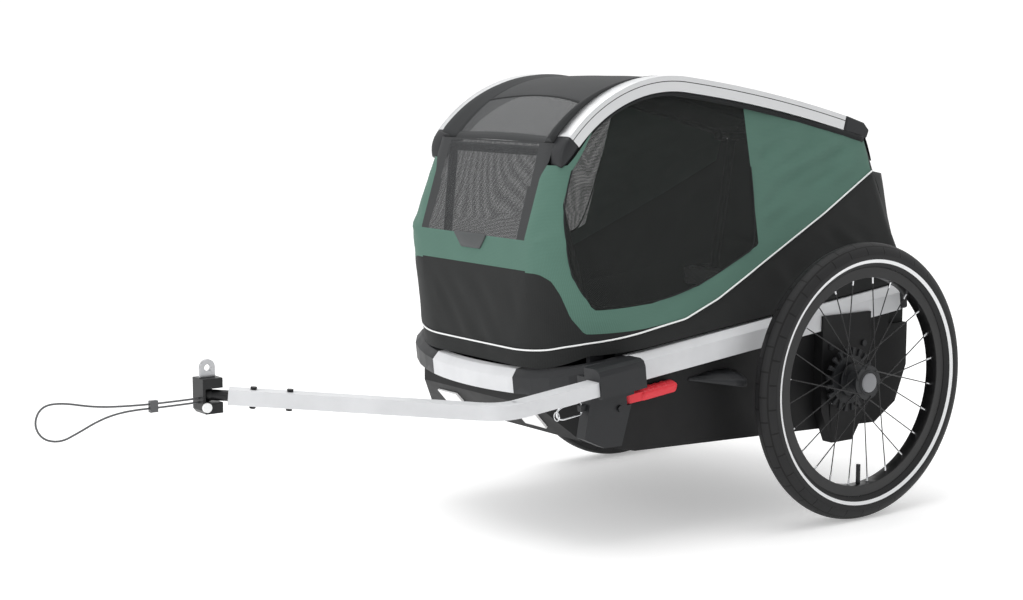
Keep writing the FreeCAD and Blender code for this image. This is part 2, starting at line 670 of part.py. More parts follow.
def front_corner():
    """Left corner with the arm's socket outside it, and the plate with the lever's clevis below."""
    tube_room = block(
        Vector(-d.tube_front, -HALF_FRAME - 50, -HALF_TUBE),
        "2 * skirt_length", "tub_inset + 50 + tube_width", "2 * tube_height", FRAME)
    slot = block(
        Vector(LEVER_SPOT.x - d.lever_width / 2 - 2, -TUB_SIDE - d.skirt_thickness - 1,
               -d.lever_drop - d.lever_thickness / 2 - d.cup_gap),
        "lever_length", "skirt_thickness + 2", "lever_thickness + 2 * cup_gap", FRAME)
    up = FRAME.Rotation.multVec(Z_AXIS)
    pin_low = FRAME.multVec(LEVER_SPOT - Z_AXIS * (d.lever_thickness / 2 + 2))
    pin = rod(pin_low, up, "lever_pin / 2", "lever_thickness + 4")
    solid = joined(corner_sweep(), arm_socket(), skirt())
    return joined(minus(solid, tube_room, socket_bore(), slot), pin)


def bail_ear():
    """Ear on the left corner's plate with the hole that the bail turns in."""
    height = d.bail_height - 2 * d.bail_wire - 4
    low = BAIL_SPOT + Vector(-4, -5, -height / 2)
    ear = block(low, "bail_height + 12", "10", "bail_height - 2 * bail_wire - 4", FRAME)
    hole = rod(FRAME.multVec(BAIL_SPOT - Z_AXIS * d.bail_height), FRAME.Rotation.multVec(Z_AXIS),
               "bail_wire / 2 + running_gap", "2 * bail_height")
    return minus(ear, hole)


def release_lever():
    """Left lever: round end on the pivot pin, then a finger grip to the rear."""
    half = "lever_width / 2"
    body = pad_body("XY_Plane", "lever_thickness", [
        ("-lever_width * 0.2", f"-{half} * 0.92"), ("lever_width * 0.4", f"-{half} * 0.92"),
        ("lever_length * 0.35", f"-{half} - 1.5"), ("lever_length - 8", f"-{half} - 1.5"),
        ("lever_length", f"-{half} + 5"), ("lever_length", f"{half} - 4"),
        ("lever_length - 6", f"{half} - 1"),
        ("-lever_width * 0.2", f"{half} * 0.92"), ("-lever_width * 0.46", f"{half} * 0.4"),
        ("-lever_width * 0.46", f"-{half} * 0.4"),
    ])
    body.Placement = FRAME.multiply(Placement(LEVER_SPOT, Rotation()))
    hole = rod(in_frame(LEVER_SPOT.x, LEVER_SPOT.y, LEVER_SPOT.z - d.lever_thickness),
               FRAME.Rotation.multVec(Z_AXIS), "lever_pin / 2 + running_gap", "2 * lever_thickness")
    return minus(body, hole)


def rounded_path(points):
    """Straight runs joined by tangent arcs, each as large as its two runs allow."""
    edges = []
    radii = []
    last = points[0]
    for before, spot, after in zip(points, points[1:], points[2:]):
        back = (before - spot).normalize()
        ahead = (after - spot).normalize()
        half_turn = (math.pi - back.getAngle(ahead)) / 2
        reach = 0.45 * min((before - spot).Length, (after - spot).Length)
        radii.append(reach / math.tan(half_turn))
        start = spot + back * reach
        end = spot + ahead * reach
        middle_line = (back + ahead).normalize()
        middle = spot + middle_line * (radii[-1] * (1 / math.cos(half_turn) - 1))
        edges.append(Part.LineSegment(last, start).toShape())
        edges.append(Part.Arc(start, middle, end).toShape())
        last = end
    edges.append(Part.LineSegment(last, points[-1]).toShape())
    return Part.Wire(edges), radii


def wire_tube(points, diameter):
    """Round wire along a rounded path."""
    path, radii = rounded_path(points)
    heading = (points[1] - points[0]).normalize()
    ring = Part.Wire([Part.makeCircle(diameter / 2, points[0], heading)])
    return path.makePipeShell([ring], True, False), path, radii


def wire_bail():
    """Closed-ended wire loop whose two short ends turn in the ear's hole."""
    half = d.bail_height / 2
    ear_half = half - d.bail_wire - 2
    spots = [
        (0, ear_half - 5), (0, half), (-d.bail_length, half), (-d.bail_length - half, half * 0.55),
        (-d.bail_length - half, -half * 0.55), (-d.bail_length, -half), (0, -half), (0, 5 - ear_half),
    ]
    points = [in_frame(BAIL_SPOT.x + x, BAIL_SPOT.y, BAIL_SPOT.z + z) for x, z in spots]
    return made(wire_tube(points, d.bail_wire)[0])


# Tub

def tub_side(inset):
    """Side outline of the tub, from its nose round under the floor to its tail."""
    top = "frame_over_axle + tyre_radius + tube_height"
    return [
        (f"{inset} - tub_nose", top), (f"{inset} - tub_nose", "tub_nose_low"),
        (f"{inset} - tub_ramp", f"tub_ramp_low + {inset} * 0.7"),
        (f"{inset} * 0.3 - tub_flat_front", f"tub_floor_front + {inset}"),
        (f"tub_flat_rear - {inset} * 0.3", f"tub_floor + {inset}"),
        (f"tub_tail - tub_knee - {inset} * 0.8", f"tub_knee_height + {inset} * 0.7"),
        (f"tub_tail - {inset}", f"tub_tail_low + {inset} * 0.2"),
        (f"tub_tail - {inset}", "tub_tail_top"),
        ("tub_flat_rear + 30", "tub_tail_top"), ("tub_flat_rear + 30", top),
    ]


def tub_plan(inset):
    """Plan of the tub with its two front corners cut off."""
    side = f"frame_width / 2 - tub_inset - {inset}"
    nose = f"{inset} - tub_nose"
    tail = f"tub_tail - {inset}"
    cut = f"tub_corner + {inset} * 0.4"
    return [
        (f"{nose} + {cut}", f"-({side})"), (tail, f"-({side})"), (tail, side), (f"{nose} + {cut}", side),
        (nose, f"{side} - {cut}"), (nose, f"{cut} - ({side})"),
    ]


def tub_solid(inset):
    side_view = pad_body("XZ_Plane", "frame_width", tub_side(inset))
    side_view.Placement = Placement(at(0, 0, 0), Rotation())
    plan = pad_body("XY_Plane", "2 * tyre_radius", tub_plan(inset), side="One side")
    plan.Placement = Placement(at(0, 0, 0), Rotation())
    return within(side_view, plan)


def above_tubes():
    """Room of the side tubes and all above it, behind the front corners."""
    return block(Vector(-d.tube_front, -HALF_FRAME, -HALF_TUBE),
                 "tube_front + 2 * tub_tail", "frame_width", "2 * tyre_radius", FRAME)


def above_corners():
    """Room of the front corners and all above it."""
    low = -d.bar_drop - d.bar_height / 2
    return block(Vector(-d.bar_reach - d.tub_nose, -HALF_FRAME, low),
                 "bar_reach + tub_nose - tube_front + 1", "frame_width", "2 * tyre_radius", FRAME)


def tub():
    return minus(tub_solid("0"), tub_solid("tub_wall"), above_tubes(), above_corners())


def floor_mat():
    width = "frame_width - 2 * tub_inset - 2 * tub_wall - 2 * mat_margin"
    length = "tub_flat_front + tub_flat_rear - 2 * mat_margin"
    half = TUB_SIDE - d.tub_wall - d.mat_margin
    fall = math.degrees(math.atan2(d.tub_floor_front - d.tub_floor, d.tub_flat_front + d.tub_flat_rear))
    floor = turned(at(-d.tub_flat_front, 0, d.tub_floor_front + d.tub_wall + d.mat_gap), Y_AXIS, fall)
    return block(Vector(d.mat_margin, -half, 0), length, width, "mat_thickness", floor)


def reflector():
    """Left reflector, flat on the sloping front of the tub."""
    run = d.tub_nose - d.tub_ramp
    fall = d.tub_nose_low - d.tub_ramp_low
    tilt = math.degrees(math.atan2(run, fall))
    middle = at(-(d.tub_nose + d.tub_ramp) / 2, -d.reflector_side, (d.tub_nose_low + d.tub_ramp_low) / 2)
    face = turned(middle, Y_AXIS, -tilt)
    corner = Vector(-d.reflector_thickness, -d.reflector_width / 2, -d.reflector_height / 2)
    return block(corner, "reflector_thickness", "reflector_width", "reflector_height", face)


def side_guard():
    """Left wedge that keeps the wheel off the tub."""
    body = pad_body("XY_Plane", "guard_thickness", [
        ("0", "0"), ("guard_length", "0"), ("guard_length * 0.99", "-guard_reach * 0.4"),
        ("guard_length * 0.95", "-guard_reach * 0.72"), ("guard_length * 0.88", "-guard_reach * 0.92"),
        ("guard_length * 0.78", "-guard_reach"), ("guard_length * 0.66", "-guard_reach * 0.97"),
    ], side="One side")
    height = tube_line(-d.guard_front) - d.guard_drop
    body.Placement = Placement(at(-d.guard_front, -TUB_SIDE, height), Rotation())
    return body


# Axle carriers and brake

def pin_spot():
    """Brake pin's place round the axle, on the trailer's middle plane."""
    turn = math.radians(d.brake_pin_turn)
    return AXLE - Vector(math.cos(turn), 0, math.sin(turn)) * d.brake_pin_circle


def axle_carrier():
    top = "tyre_radius + frame_over_axle"
    body = pad_body("XZ_Plane", "carrier_thickness", [
        ("-carrier_front", top), ("-carrier_front", "tyre_radius - brake_ring"),
        ("-carrier_front * 0.4", "carrier_foot"), ("carrier_rear * 0.45", "carrier_foot"),
        ("carrier_rear", "tyre_radius - brake_ring * 0.9"),
        ("carrier_rear", top),
    ])
    body.Placement = Placement(at(0, -TUB_SIDE - d.carrier_thickness / 2, 0), Rotation())
    outside = Vector(0, -1, 0)
    inner_face = Y_AXIS * (1 - TUB_SIDE)
    length = "carrier_thickness + 2"
    axle_bore = rod(AXLE + inner_face, outside, "axle_diameter / 2 + running_gap", length)
    pin_bore = rod(pin_spot() + inner_face, outside, "brake_pin_diameter / 2 + running_gap", length)
    return minus(body, axle_bore, pin_bore, above_tubes())


def brake_pin():
    outside = Vector(0, -1, 0)
    start = pin_spot() - Y_AXIS * (TUB_SIDE + 1)
    shaft = rod(start, outside, "brake_pin_diameter / 2", "carrier_thickness + brake_pin_tip - 1")
    tip = doc.addObject("Part::Sphere", "Tip")
    bind(tip, Radius="brake_pin_diameter / 2")
    tip.Placement.Base = pin_spot() - Y_AXIS * (TUB_SIDE + d.carrier_thickness + d.brake_pin_tip)
    return joined(shaft, tip)


def carrier_screws():
    """Screw heads on the left carrier."""
    heads = []
    carrier_face = -TUB_SIDE - d.carrier_thickness
    low = d.tyre_radius - d.brake_ring
    high = d.tyre_radius + d.brake_ring
    spots = ((-d.carrier_front * 0.55, high), (d.carrier_rear * 0.75, high), (d.carrier_rear * 0.5, low))
    for x, z in spots:
        foot = at(x, carrier_face, z)
        heads.append(rod(foot, Vector(0, -1, 0), "screw_head / 2", "screw_head_height"))
    return heads


def plate_screw():
    """Screw head on the left corner's plate."""
    along = -d.skirt_rear - d.skirt_length * 0.42
    foot = in_frame(along, -TUB_SIDE - d.skirt_thickness, -d.skirt_drop * 0.47)
    return rod(foot, Vector(0, -1, 0), "screw_head / 2", "screw_head_height")


PEDAL_SPOT = at(d.tub_tail + 10, 0, d.pedal_height)


def pedal_ears():
    """Two ears on the tub's rear wall with the pedal's pivot pin between them."""
    half = d.pedal_width / 2 + 1
    ears = []
    for left in (-half - 6, half):
        corner = Vector(AXLE_X + d.tub_tail, left, d.pedal_height - 9)
        ears.append(block(corner, "18", "6", "18"))
    pin = rod(PEDAL_SPOT - Y_AXIS * (half + 1), Y_AXIS, "pedal_pin / 2", "pedal_width + 4")
    return joined(*ears, pin)


def brake_pedal():
    half = "pedal_thickness / 2"
    body = pad_body("XZ_Plane", "pedal_width", [
        (f"-{half} - 2", f"-{half} - 1"), ("pedal_length - 4", f"-{half}"), ("pedal_length", "0"),
        ("pedal_length - 4", half), (f"-{half} - 2", f"{half} + 1"),
    ])
    body.Placement = Placement(PEDAL_SPOT, Rotation())
    start = PEDAL_SPOT - Y_AXIS * d.pedal_width
    hole = rod(start, Y_AXIS, "pedal_pin / 2 + running_gap", "2 * pedal_width")
    return minus(body, hole)


# Tow arm and hitch

def arm_path():
    """Arm's middle line: straight in the socket, one bend, straight to the tip."""
    rear = in_frame(SOCKET_FRONT + d.arm_insert, -arm_side, -d.arm_drop)
    bend = at(*arm_bend_spot)
    tip = at(*arm_tip_spot)
    back = (rear - bend).normalize()
    ahead = (tip - bend).normalize()
    half_turn = (math.pi - back.getAngle(ahead)) / 2
    reach = d.arm_bend_radius * math.tan(half_turn)
    middle = bend + (back + ahead).normalize() * (d.arm_bend_radius * (1 / math.cos(half_turn) - 1))
    arc = Part.Arc(bend + back * reach, middle, bend + ahead * reach).toShape()
    lines = (Part.LineSegment(rear, bend + back * reach), Part.LineSegment(bend + ahead * reach, tip))
    return Part.Wire([lines[0].toShape(), arc, lines[1].toShape()]), rear, back, ahead


def arm_profile(inset):
    """Arm's section at its rear end, square to the socket."""
    path, rear, back, ahead = arm_path()
    across = Y_AXIS * (d.arm_width / 2 - inset)
    up = FRAME.Rotation.multVec(Z_AXIS) * (d.arm_height / 2 - inset)
    points = [rear - across - up, rear + across - up, rear + across + up, rear - across + up]
    return path.makePipeShell([Part.makePolygon(points + points[:1])], True, False)


def arm_bolt_places():
    """Middles of the two through-bolts and their direction."""
    path, rear, back, ahead = arm_path()
    up = (Z_AXIS - ahead * ahead.dot(Z_AXIS)).normalize()
    tip = at(*arm_tip_spot)
    return [tip - ahead * (d.arm_bolt_first + k * d.arm_bolt_pitch) for k in range(2)], up


def tow_arm_tube():
    spots, up = arm_bolt_places()
    holes = [rod(spot - up * d.arm_height, up, "arm_bolt / 2", "2 * arm_height") for spot in spots]
    return minus(made(arm_profile(0).cut(arm_profile(d.arm_wall))), *holes)


def arm_bolts():
    spots, up = arm_bolt_places()
    half = d.arm_height / 2 + 0.6
    bolts = []
    for spot in spots:
        shank = rod(spot - up * (half + 5), up, "arm_bolt / 2", "arm_height + 6.2")
        head = rod(spot + up * half, up, "arm_bolt_head / 2", "4")
        bolts.append(joined(shank, head))
    return group(*bolts)


def arm_nuts():
    spots, up = arm_bolt_places()
    half = d.arm_height / 2 + 0.6
    nuts = []
    for spot in spots:
        nut = rod(spot - up * (half + 5), up, "arm_bolt_head / 2", "5")
        nuts.append(minus(nut, rod(spot - up * (half + 6), up, "arm_bolt / 2", "8")))
    return group(*nuts)


def ball_stem():
    """Black stem plugged into the arm, with the ball and the hole for the king pin."""
    spots, up = arm_bolt_places()
    tip = at(*arm_tip_spot)
    across = arm_heading.cross(up)
    skin = d.arm_wall + d.plug_gap
    plug = block(
        Vector(skin - d.arm_width / 2, skin - d.arm_height / 2, -d.stem_plug),
        "arm_width - 2 * arm_wall - 2 * plug_gap", "arm_height - 2 * arm_wall - 2 * plug_gap",
        "stem_plug", Placement(tip, Rotation(across * -1, up, arm_heading, "ZXY")))
    plug_holes = [rod(spot - up * d.arm_height, up, "arm_bolt / 2", "2 * arm_height") for spot in spots]
    shaft = rod(tip, arm_heading, "stem_diameter / 2", "stem_reach")
    ball = doc.addObject("Part::Sphere", "Ball")
    bind(ball, Radius="ball_diameter / 2")
    ball.Placement.Base = BALL
    start = BALL - Z_AXIS * d.ball_diameter
    king_hole = rod(start, Z_AXIS, "king_pin / 2 + running_gap", "2 * ball_diameter")
    return minus(joined(plug, shaft, ball), king_hole, *plug_holes)


def hitch_cup():
    """C-shaped cup: jaws above and below the ball, and the king pin between them."""
    gap = "ball_diameter / 2 + cup_gap"
    body = pad_body("XZ_Plane", "cup_width", [
        ("5 - cup_front", "-cup_bottom"), ("cup_rear", "-cup_bottom"), ("cup_rear", f"-({gap})"),
        (f"-({gap})", f"-({gap})"), (f"-({gap})", gap), ("cup_rear", gap), ("cup_rear", "cup_top"),
        ("-cup_front", "cup_top"), ("-cup_front", "6 - cup_bottom"),
    ])
    body.Placement = Placement(BALL, Rotation())
    pin = rod(BALL - Z_AXIS * (d.cup_bottom - 2), Z_AXIS, "king_pin / 2", "cup_bottom + cup_top - 4")
    start = lock_pin_spot() - Y_AXIS * d.cup_width
    lock_hole = rod(start, Y_AXIS, "lock_pin / 2 + running_gap", "2 * cup_width")
    return minus(joined(body, pin), lock_hole)


def lock_pin_spot():
    return BALL - X_AXIS * d.lock_pin_front - Z_AXIS * d.lock_pin_drop


def retaining_pin():
    face = lock_pin_spot() - Y_AXIS * (d.cup_width / 2 + d.cup_gap)
    head = rod(face, Vector(0, -1, 0), "lock_pin_head / 2", "4")
    return joined(head, rod(face, Y_AXIS, "lock_pin / 2", "cup_width + 3"))


def axle_plate():
    """Upright plate on the cup with the hole that takes the bicycle's axle."""
    hole = BALL + Z_AXIS * d.plate_rise
    half = d.plate_thickness / 2
    disc = rod(hole - Y_AXIS * half, Y_AXIS, "plate_radius", "plate_thickness")
    tab = block(BALL + Vector(-d.plate_radius, -half, d.cup_top), "2 * plate_radius", "plate_thickness",
                "plate_rise - cup_top")
    return minus(joined(disc, tab), rod(hole - Y_AXIS * d.plate_thickness, Y_AXIS, "plate_hole / 2",
                                        "2 * plate_thickness"))


# Safety cable: distance of each route point from the cup's front face and from the ball's height.
CABLE_ROUTE = (
    (0.0, -4.4), (-55.5, -5.1), (-112.5, -3.8), (-167.5, 0.3), (-220.5, 13.3), (-251.5, 11.3),
    (-263.5, -13.7), (-251.5, -38.2), (-223.5, -45.7), (-196.5, -35.2), (-158.5, -18.2),
    (-118.5, -10.7), (-57.5, -11.5), (0.0, -10.7),
)
CUP_FACE = BALL - X_AXIS * d.cup_front


def safety_cable():
    points = [CUP_FACE + Vector(x, 0, z) for x, z in CABLE_ROUTE]
    tube, path, radii = wire_tube(points, d.cable_diameter)
    section = math.pi * d.cable_diameter ** 2 / 4
    print("cable radii", [round(radius, 1) for radius in radii])
    print("cable length", round(path.Length, 1))
    print("cable volume", round(tube.Volume, 1), "of", round(section * path.Length, 1))
    return made(tube)


def cable_ferrule(cable):
    height = sum(z for x, z in (CABLE_ROUTE[1], CABLE_ROUTE[-2])) / 2
    middle = CUP_FACE + Vector(-d.ferrule_place, 0, height)
    corner = middle - Vector(d.ferrule_length, d.ferrule_depth, d.ferrule_height) / 2
    return minus(block(corner, "ferrule_length", "ferrule_depth", "ferrule_height"), cable)


# Roof frame and hoops

FRONT_TURN = math.radians(d.rail_front_angle)
REAR_TURN = math.radians(d.rail_rear_angle)
FRONT_HEADING = Vector(math.cos(FRONT_TURN), 0, math.sin(FRONT_TURN))
REAR_HEADING = Vector(math.cos(REAR_TURN), 0, -math.sin(REAR_TURN))


def above(heading):
    """Upward direction square to a heading in the side view."""
    return Vector(-heading.z, 0, heading.x)


def bend_spot(centre, radius, degrees):
    """Point of a rail's bend where the rail slopes by an angle."""
    turn = math.radians(degrees)
    return centre + Vector(-math.sin(turn), 0, math.cos(turn)) * radius


def rail_path(depth, front=0.0, rear=0.0):
    """Rail's line in the side view, at a depth below its top, run on straight past its ends."""
    start = at(-d.rail_start_x, 0, d.rail_start_z)
    first_centre = start - above(FRONT_HEADING) * d.rail_front_radius
    crown = bend_spot(first_centre, d.rail_front_radius, -d.rail_crown_angle)
    crown_up = (crown - first_centre).normalize()
    second_centre = crown - crown_up * d.rail_rear_radius
    first = d.rail_front_radius - depth
    second = d.rail_rear_radius - depth
    angles = (d.rail_front_angle, (d.rail_front_angle - d.rail_crown_angle) / 2, -d.rail_crown_angle)
    bend = [bend_spot(first_centre, first, angle) for angle in angles]
    angles = (-d.rail_crown_angle, -(d.rail_crown_angle + d.rail_rear_angle) / 2, -d.rail_rear_angle)
    sweep = [bend_spot(second_centre, second, angle) for angle in angles]
    edges = [Part.Arc(*bend).toShape(), Part.Arc(*sweep).toShape()]
    if front:
        edges.insert(0, Part.LineSegment(bend[0] - FRONT_HEADING * front, bend[0]).toShape())
    if rear:
        edges.append(Part.LineSegment(sweep[2], sweep[2] + REAR_HEADING * rear).toShape())
    return edges


RAIL_START = at(-d.rail_start_x, 0, d.rail_start_z)
RAIL_END = rail_path(0)[-1].Vertexes[-1].Point
FRONT_TOP = RAIL_START - FRONT_HEADING * d.pivot_back - above(FRONT_HEADING) * d.front_pivot_depth
REAR_TOP = RAIL_END + REAR_HEADING * d.rear_pivot_back - above(REAR_HEADING) * d.rear_pivot_depth
FRONT_FOOT = Vector(FRONT_TOP.x + d.hoop_lean, 0, d.hoop_foot_z)
REAR_FOOT = FRONT_FOOT + REAR_TOP - FRONT_TOP
MESH_HALF = HALF_SPREAD - d.mesh_inset
PIN_REACH = HALF_SPREAD - d.rail_width / 2 + d.lug_width - 4


def rail_tube(inset):
    """Left rail's outline swept along its line."""
    path = Part.Wire(rail_path(0))
    out = Y_AXIS * (d.rail_width / 2 - inset)
    up = above(FRONT_HEADING)
    middle = RAIL_START - Y_AXIS * HALF_SPREAD
    points = [middle - out - up * inset, middle + out - up * inset,
              middle + out - up * (d.rail_height - inset), middle - out - up * (d.rail_height - inset)]
    shifted = path.copy()
    shifted.translate(Y_AXIS * -HALF_SPREAD)
    return shifted.makePipeShell([Part.makePolygon(points + points[:1])], True, False)


def roof_rail():
    return made(rail_tube(0).cut(rail_tube(d.rail_wall)))


def rail_front_cap():
    low = "-rail_height - cap_margin"
    body = pad_body("XZ_Plane", "rail_width + 2 * cap_margin", [
        ("0", "cap_margin"), ("-cap_length * 0.6", "cap_margin"),
        ("-cap_length * 0.9", "-rail_height * 0.2"), ("-cap_length", "-rail_height * 0.45"),
        ("-cap_length * 0.9", "-rail_height * 0.75"),
        ("-cap_length * 0.65", f"{low} + 2"), ("0", low),
    ])
    body.Placement = turned(RAIL_START - Y_AXIS * HALF_SPREAD, Y_AXIS, -d.rail_front_angle)
    reach = PIN_REACH + d.pin_end_room
    hole = rod(FRONT_TOP - Y_AXIS * reach, Y_AXIS, "hoop_pin / 2 + running_gap", "rail_width")
    return minus(body, hole)


def rail_rear_cap():
    """Left end cap, with a narrow lug inside the cloth for the rear hoop's pin."""
    low = "-rail_height - cap_margin"
    turn = Rotation(Y_AXIS, d.rail_rear_angle)
    body = pad_body("XZ_Plane", "rail_width + 2 * cap_margin", [
        ("0", "cap_margin"), ("tail_length * 0.75", "cap_margin - 2"),
        ("tail_length", "-rail_height * 0.4"), ("tail_length * 0.96", low), ("0", low),
    ])
    body.Placement = Placement(RAIL_END - Y_AXIS * HALF_SPREAD, turn)
    foot = "-rear_pivot_depth - hoop_pin"
    lug = pad_body("XZ_Plane", "lug_width", [
        ("rear_pivot_back - hoop_pin * 1.4", "-rail_height * 0.5"),
        ("rear_pivot_back + hoop_pin * 1.4", "-rail_height * 0.5"),
        ("rear_pivot_back + hoop_pin", foot), ("rear_pivot_back - hoop_pin", foot),
    ])
    inner_face = HALF_SPREAD - d.rail_width / 2 - d.cap_margin
    lug.Placement = Placement(RAIL_END - Y_AXIS * (inner_face + d.lug_width / 2), turn)
    hole = rod(REAR_TOP - Y_AXIS * HALF_SPREAD * 2, Y_AXIS, "hoop_pin / 2 + open_pivot_gap", SPREAD)
    return minus(joined(body, lug), hole)


def roof_cross_bar():
    spot = RAIL_END + REAR_HEADING * (d.tail_length * 0.8) - above(REAR_HEADING) * (d.rail_height * 0.55)
    half = f"{SPREAD} / 2 - rail_width / 2 - cap_margin"
    start = spot - Y_AXIS * (HALF_SPREAD - d.rail_width / 2 - d.cap_margin)
    return rod(start, Y_AXIS, "cross_bar / 2", f"2 * ({half})")


def roof_canopy():
    """Crowned cloth between the rails, from their front ends to their rear ends."""
    path = Part.Wire(rail_path(0))
    half = HALF_SPREAD - d.rail_width / 2 - d.cloth_gap / 3
    up = above(FRONT_HEADING)
    edge = RAIL_START - up * d.canopy_depth
    under = edge - up * d.cloth
    left = Y_AXIS * -half
    crown = up * d.canopy_crown
    strip = Part.Wire([
        Part.Arc(edge + left, edge + crown, edge - left).toShape(),
        Part.LineSegment(edge - left, under - left).toShape(),
        Part.Arc(under - left, under + crown, under + left).toShape(),
        Part.LineSegment(under + left, edge + left).toShape(),
    ])
    return made(path.makePipeShell([strip], True, False))


def hoop(top, foot):
    """Bent tube: top bar with pivot pins in the rail caps, two legs, and an eye at each foot."""
    half = HALF_SPREAD - d.hoop_top_inset
    pieces = [rod(top - Y_AXIS * half, Y_AXIS, "hoop_tube / 2", f"{SPREAD} - 2 * hoop_top_inset")]
    tools = []
    length = f"{SPREAD} - rail_width + 2 * lug_width - 8"
    pin = rod(top - Y_AXIS * PIN_REACH, Y_AXIS, "hoop_pin / 2", length)
    pieces.append(pin)
    for side in (-1, 1):
        corner = top + Y_AXIS * (side * half)
        eye = foot + Y_AXIS * (side * HOOP_FOOT_HALF)
        leg = rod(corner, eye - corner, "hoop_tube / 2", "10")
        leg.setExpression("Height", None)
        leg.Height = (eye - corner).Length
        ball = bind(doc.addObject("Part::Sphere", "Elbow"), Radius="hoop_tube / 2")
        ball.Placement.Base = corner
        boss = rod(eye - Y_AXIS * (d.eye_width / 2), Y_AXIS, "eye_radius", "eye_width")
        pieces += [leg, ball, boss]
        start = eye - Y_AXIS * d.eye_width
        tools.append(rod(start, Y_AXIS, "hoop_pin / 2 + running_gap", "2 * eye_width"))
        for cheek in (-1, 1):
            beside = eye + Y_AXIS * (cheek * (d.eye_width / 2 + d.eye_radius))
            tools.append(rod(beside - Y_AXIS * d.eye_radius, Y_AXIS, "2 * eye_radius", "2 * eye_radius"))
    return minus(joined(*pieces), *tools)


def fold_bracket(foot, low, high, outer):
    """Left bracket that carries one hoop's foot on its pin; its side block reaches out to the frame."""
    face = -HOOP_FOOT_HALF - d.eye_width / 2 - d.cup_gap
    left = foot.x - d.bracket_width / 2
    base = min(low, foot.z - d.eye_radius)
    corner = Vector(left, face - d.bracket_thickness, base)
    plate = block(corner, "bracket_width", "bracket_thickness", "eye_radius")
    plate.setExpression("Height", None)
    plate.Height = max(high, foot.z + d.eye_radius) - base
    side = block(Vector(left, -outer, low), "bracket_width", "bracket_thickness", "eye_radius")
    side.setExpression("Width", None)
    side.Width = outer + face
    side.setExpression("Height", None)
    side.Height = high - low
    pin = rod(foot + Y_AXIS * (face - 1), Y_AXIS, "hoop_pin / 2", "eye_width + 4")
    return joined(plate, side, pin)


def fold_brackets():
    """Left front bracket on the corner moulding, and left rear bracket on the side tube."""
    line = tube_line(FRONT_FOOT.x - AXLE_X)
    outer = HOOP_FOOT_HALF + 2 * d.tube_width
    front = fold_bracket(FRONT_FOOT, line - d.bar_drop, line + d.bar_drop / 2, outer)
    line = tube_line(REAR_FOOT.x - AXLE_X)
    rear = fold_bracket(REAR_FOOT, line - d.bar_drop, line + d.bar_drop, HALF_FRAME - d.tube_width)
    return [minus(front, corner_sweep(), corner_outside()), rear]


def corner_outside():
    """Room outside the left corner's middle line, which the front bracket stays out of."""
    path = [corner_path(k / 12)[0] for k in range(13)]
    far = [Vector(-d.tube_front, -2 * HALF_FRAME, 0), Vector(-2 * d.bar_reach, -2 * HALF_FRAME, 0)]
    low = Z_AXIS * d.tyre_radius
    corners = [Vector(spot.x, spot.y, 0) - low for spot in path + far]
    room = made(Part.Face(Part.makePolygon(corners + corners[:1])).extrude(low * 2))
    room.Placement = FRAME
    return room


# Cabin cloth

def plan_ring(z, front, rear, half, front_round, rear_round, inset):
    """Rounded plan of the cabin at one height, as one closed wire."""
    front_x = AXLE_X - front + inset
    rear_x = AXLE_X + rear - inset
    side = half - inset
    front_r = max(front_round - inset, 1.0)
    rear_r = max(rear_round - inset, 1.0)
    edges = []

    def line(a, b):
        edges.append(Part.LineSegment(Vector(*a, z), Vector(*b, z)).toShape())

    def arc(centre, radius, first, last):
        spots = []
        for angle in (first, (first + last) / 2, last):
            turn = math.radians(angle)
            spots.append(Vector(centre[0] + radius * math.cos(turn), centre[1] + radius * math.sin(turn), z))
        edges.append(Part.Arc(*spots).toShape())

    line((front_x + front_r, -side), (rear_x - rear_r, -side))
    arc((rear_x - rear_r, rear_r - side), rear_r, -90, 0)
    line((rear_x, rear_r - side), (rear_x, side - rear_r))
    arc((rear_x - rear_r, side - rear_r), rear_r, 0, 90)
    line((rear_x - rear_r, side), (front_x + front_r, side))
    arc((front_x + front_r, side - front_r), front_r, 90, 180)
    line((front_x, side - front_r), (front_x, front_r - side))
    arc((front_x + front_r, front_r - side), front_r, 180, 270)
    return Part.Wire(edges)


def cabin_solid(inset):
    """Cabin filled solid, from below the hem to above the rails."""
    hem = tube_line(-d.front_foot_x)
    share = (d.pouch_height - hem) / (d.belly_height - hem)
    pouch_front = d.front_foot_x + share * (d.front_belly_x - d.front_foot_x)
    pouch_round = d.front_round_low + share * (d.front_round_belly - d.front_round_low)
    heights = (hem, d.pouch_height, d.belly_height, d.cloth_top)
    top_front = d.front_top_x - (d.cloth_top - d.mesh_top) * 0.3
    fronts = (d.front_foot_x, pouch_front, d.front_belly_x, top_front)
    rears = (d.rear_foot_x, d.rear_pouch_x, d.rear_belly_x, d.rear_top_x)
    rounds = (d.front_round_low, pouch_round, d.front_round_belly, d.front_round_top)
    foot = tube_line(0) - HALF_TUBE / 2
    lean = (d.rail_inset + d.cloth_top_inset) / (d.cloth_top - foot)
    rings = []
    for z, front, rear, front_round in zip(heights, fronts, rears, rounds):
        half = HALF_FRAME - lean * max(z - foot, 0.0)
        rings.append(plan_ring(z, front, rear, half, front_round, d.rear_round, inset))
    return Part.makeLoft(rings, True, True)


FAR = 2 * d.frame_width


def side_prism(points, half_width=FAR):
    """Straight-sided cutter through the cabin from a side-view outline; x is from the axle."""
    corners = [at(x, -half_width, z) for x, z in points]
    face = Part.Face(Part.makePolygon(corners + corners[:1]))
    return face.extrude(Y_AXIS * (2 * half_width))


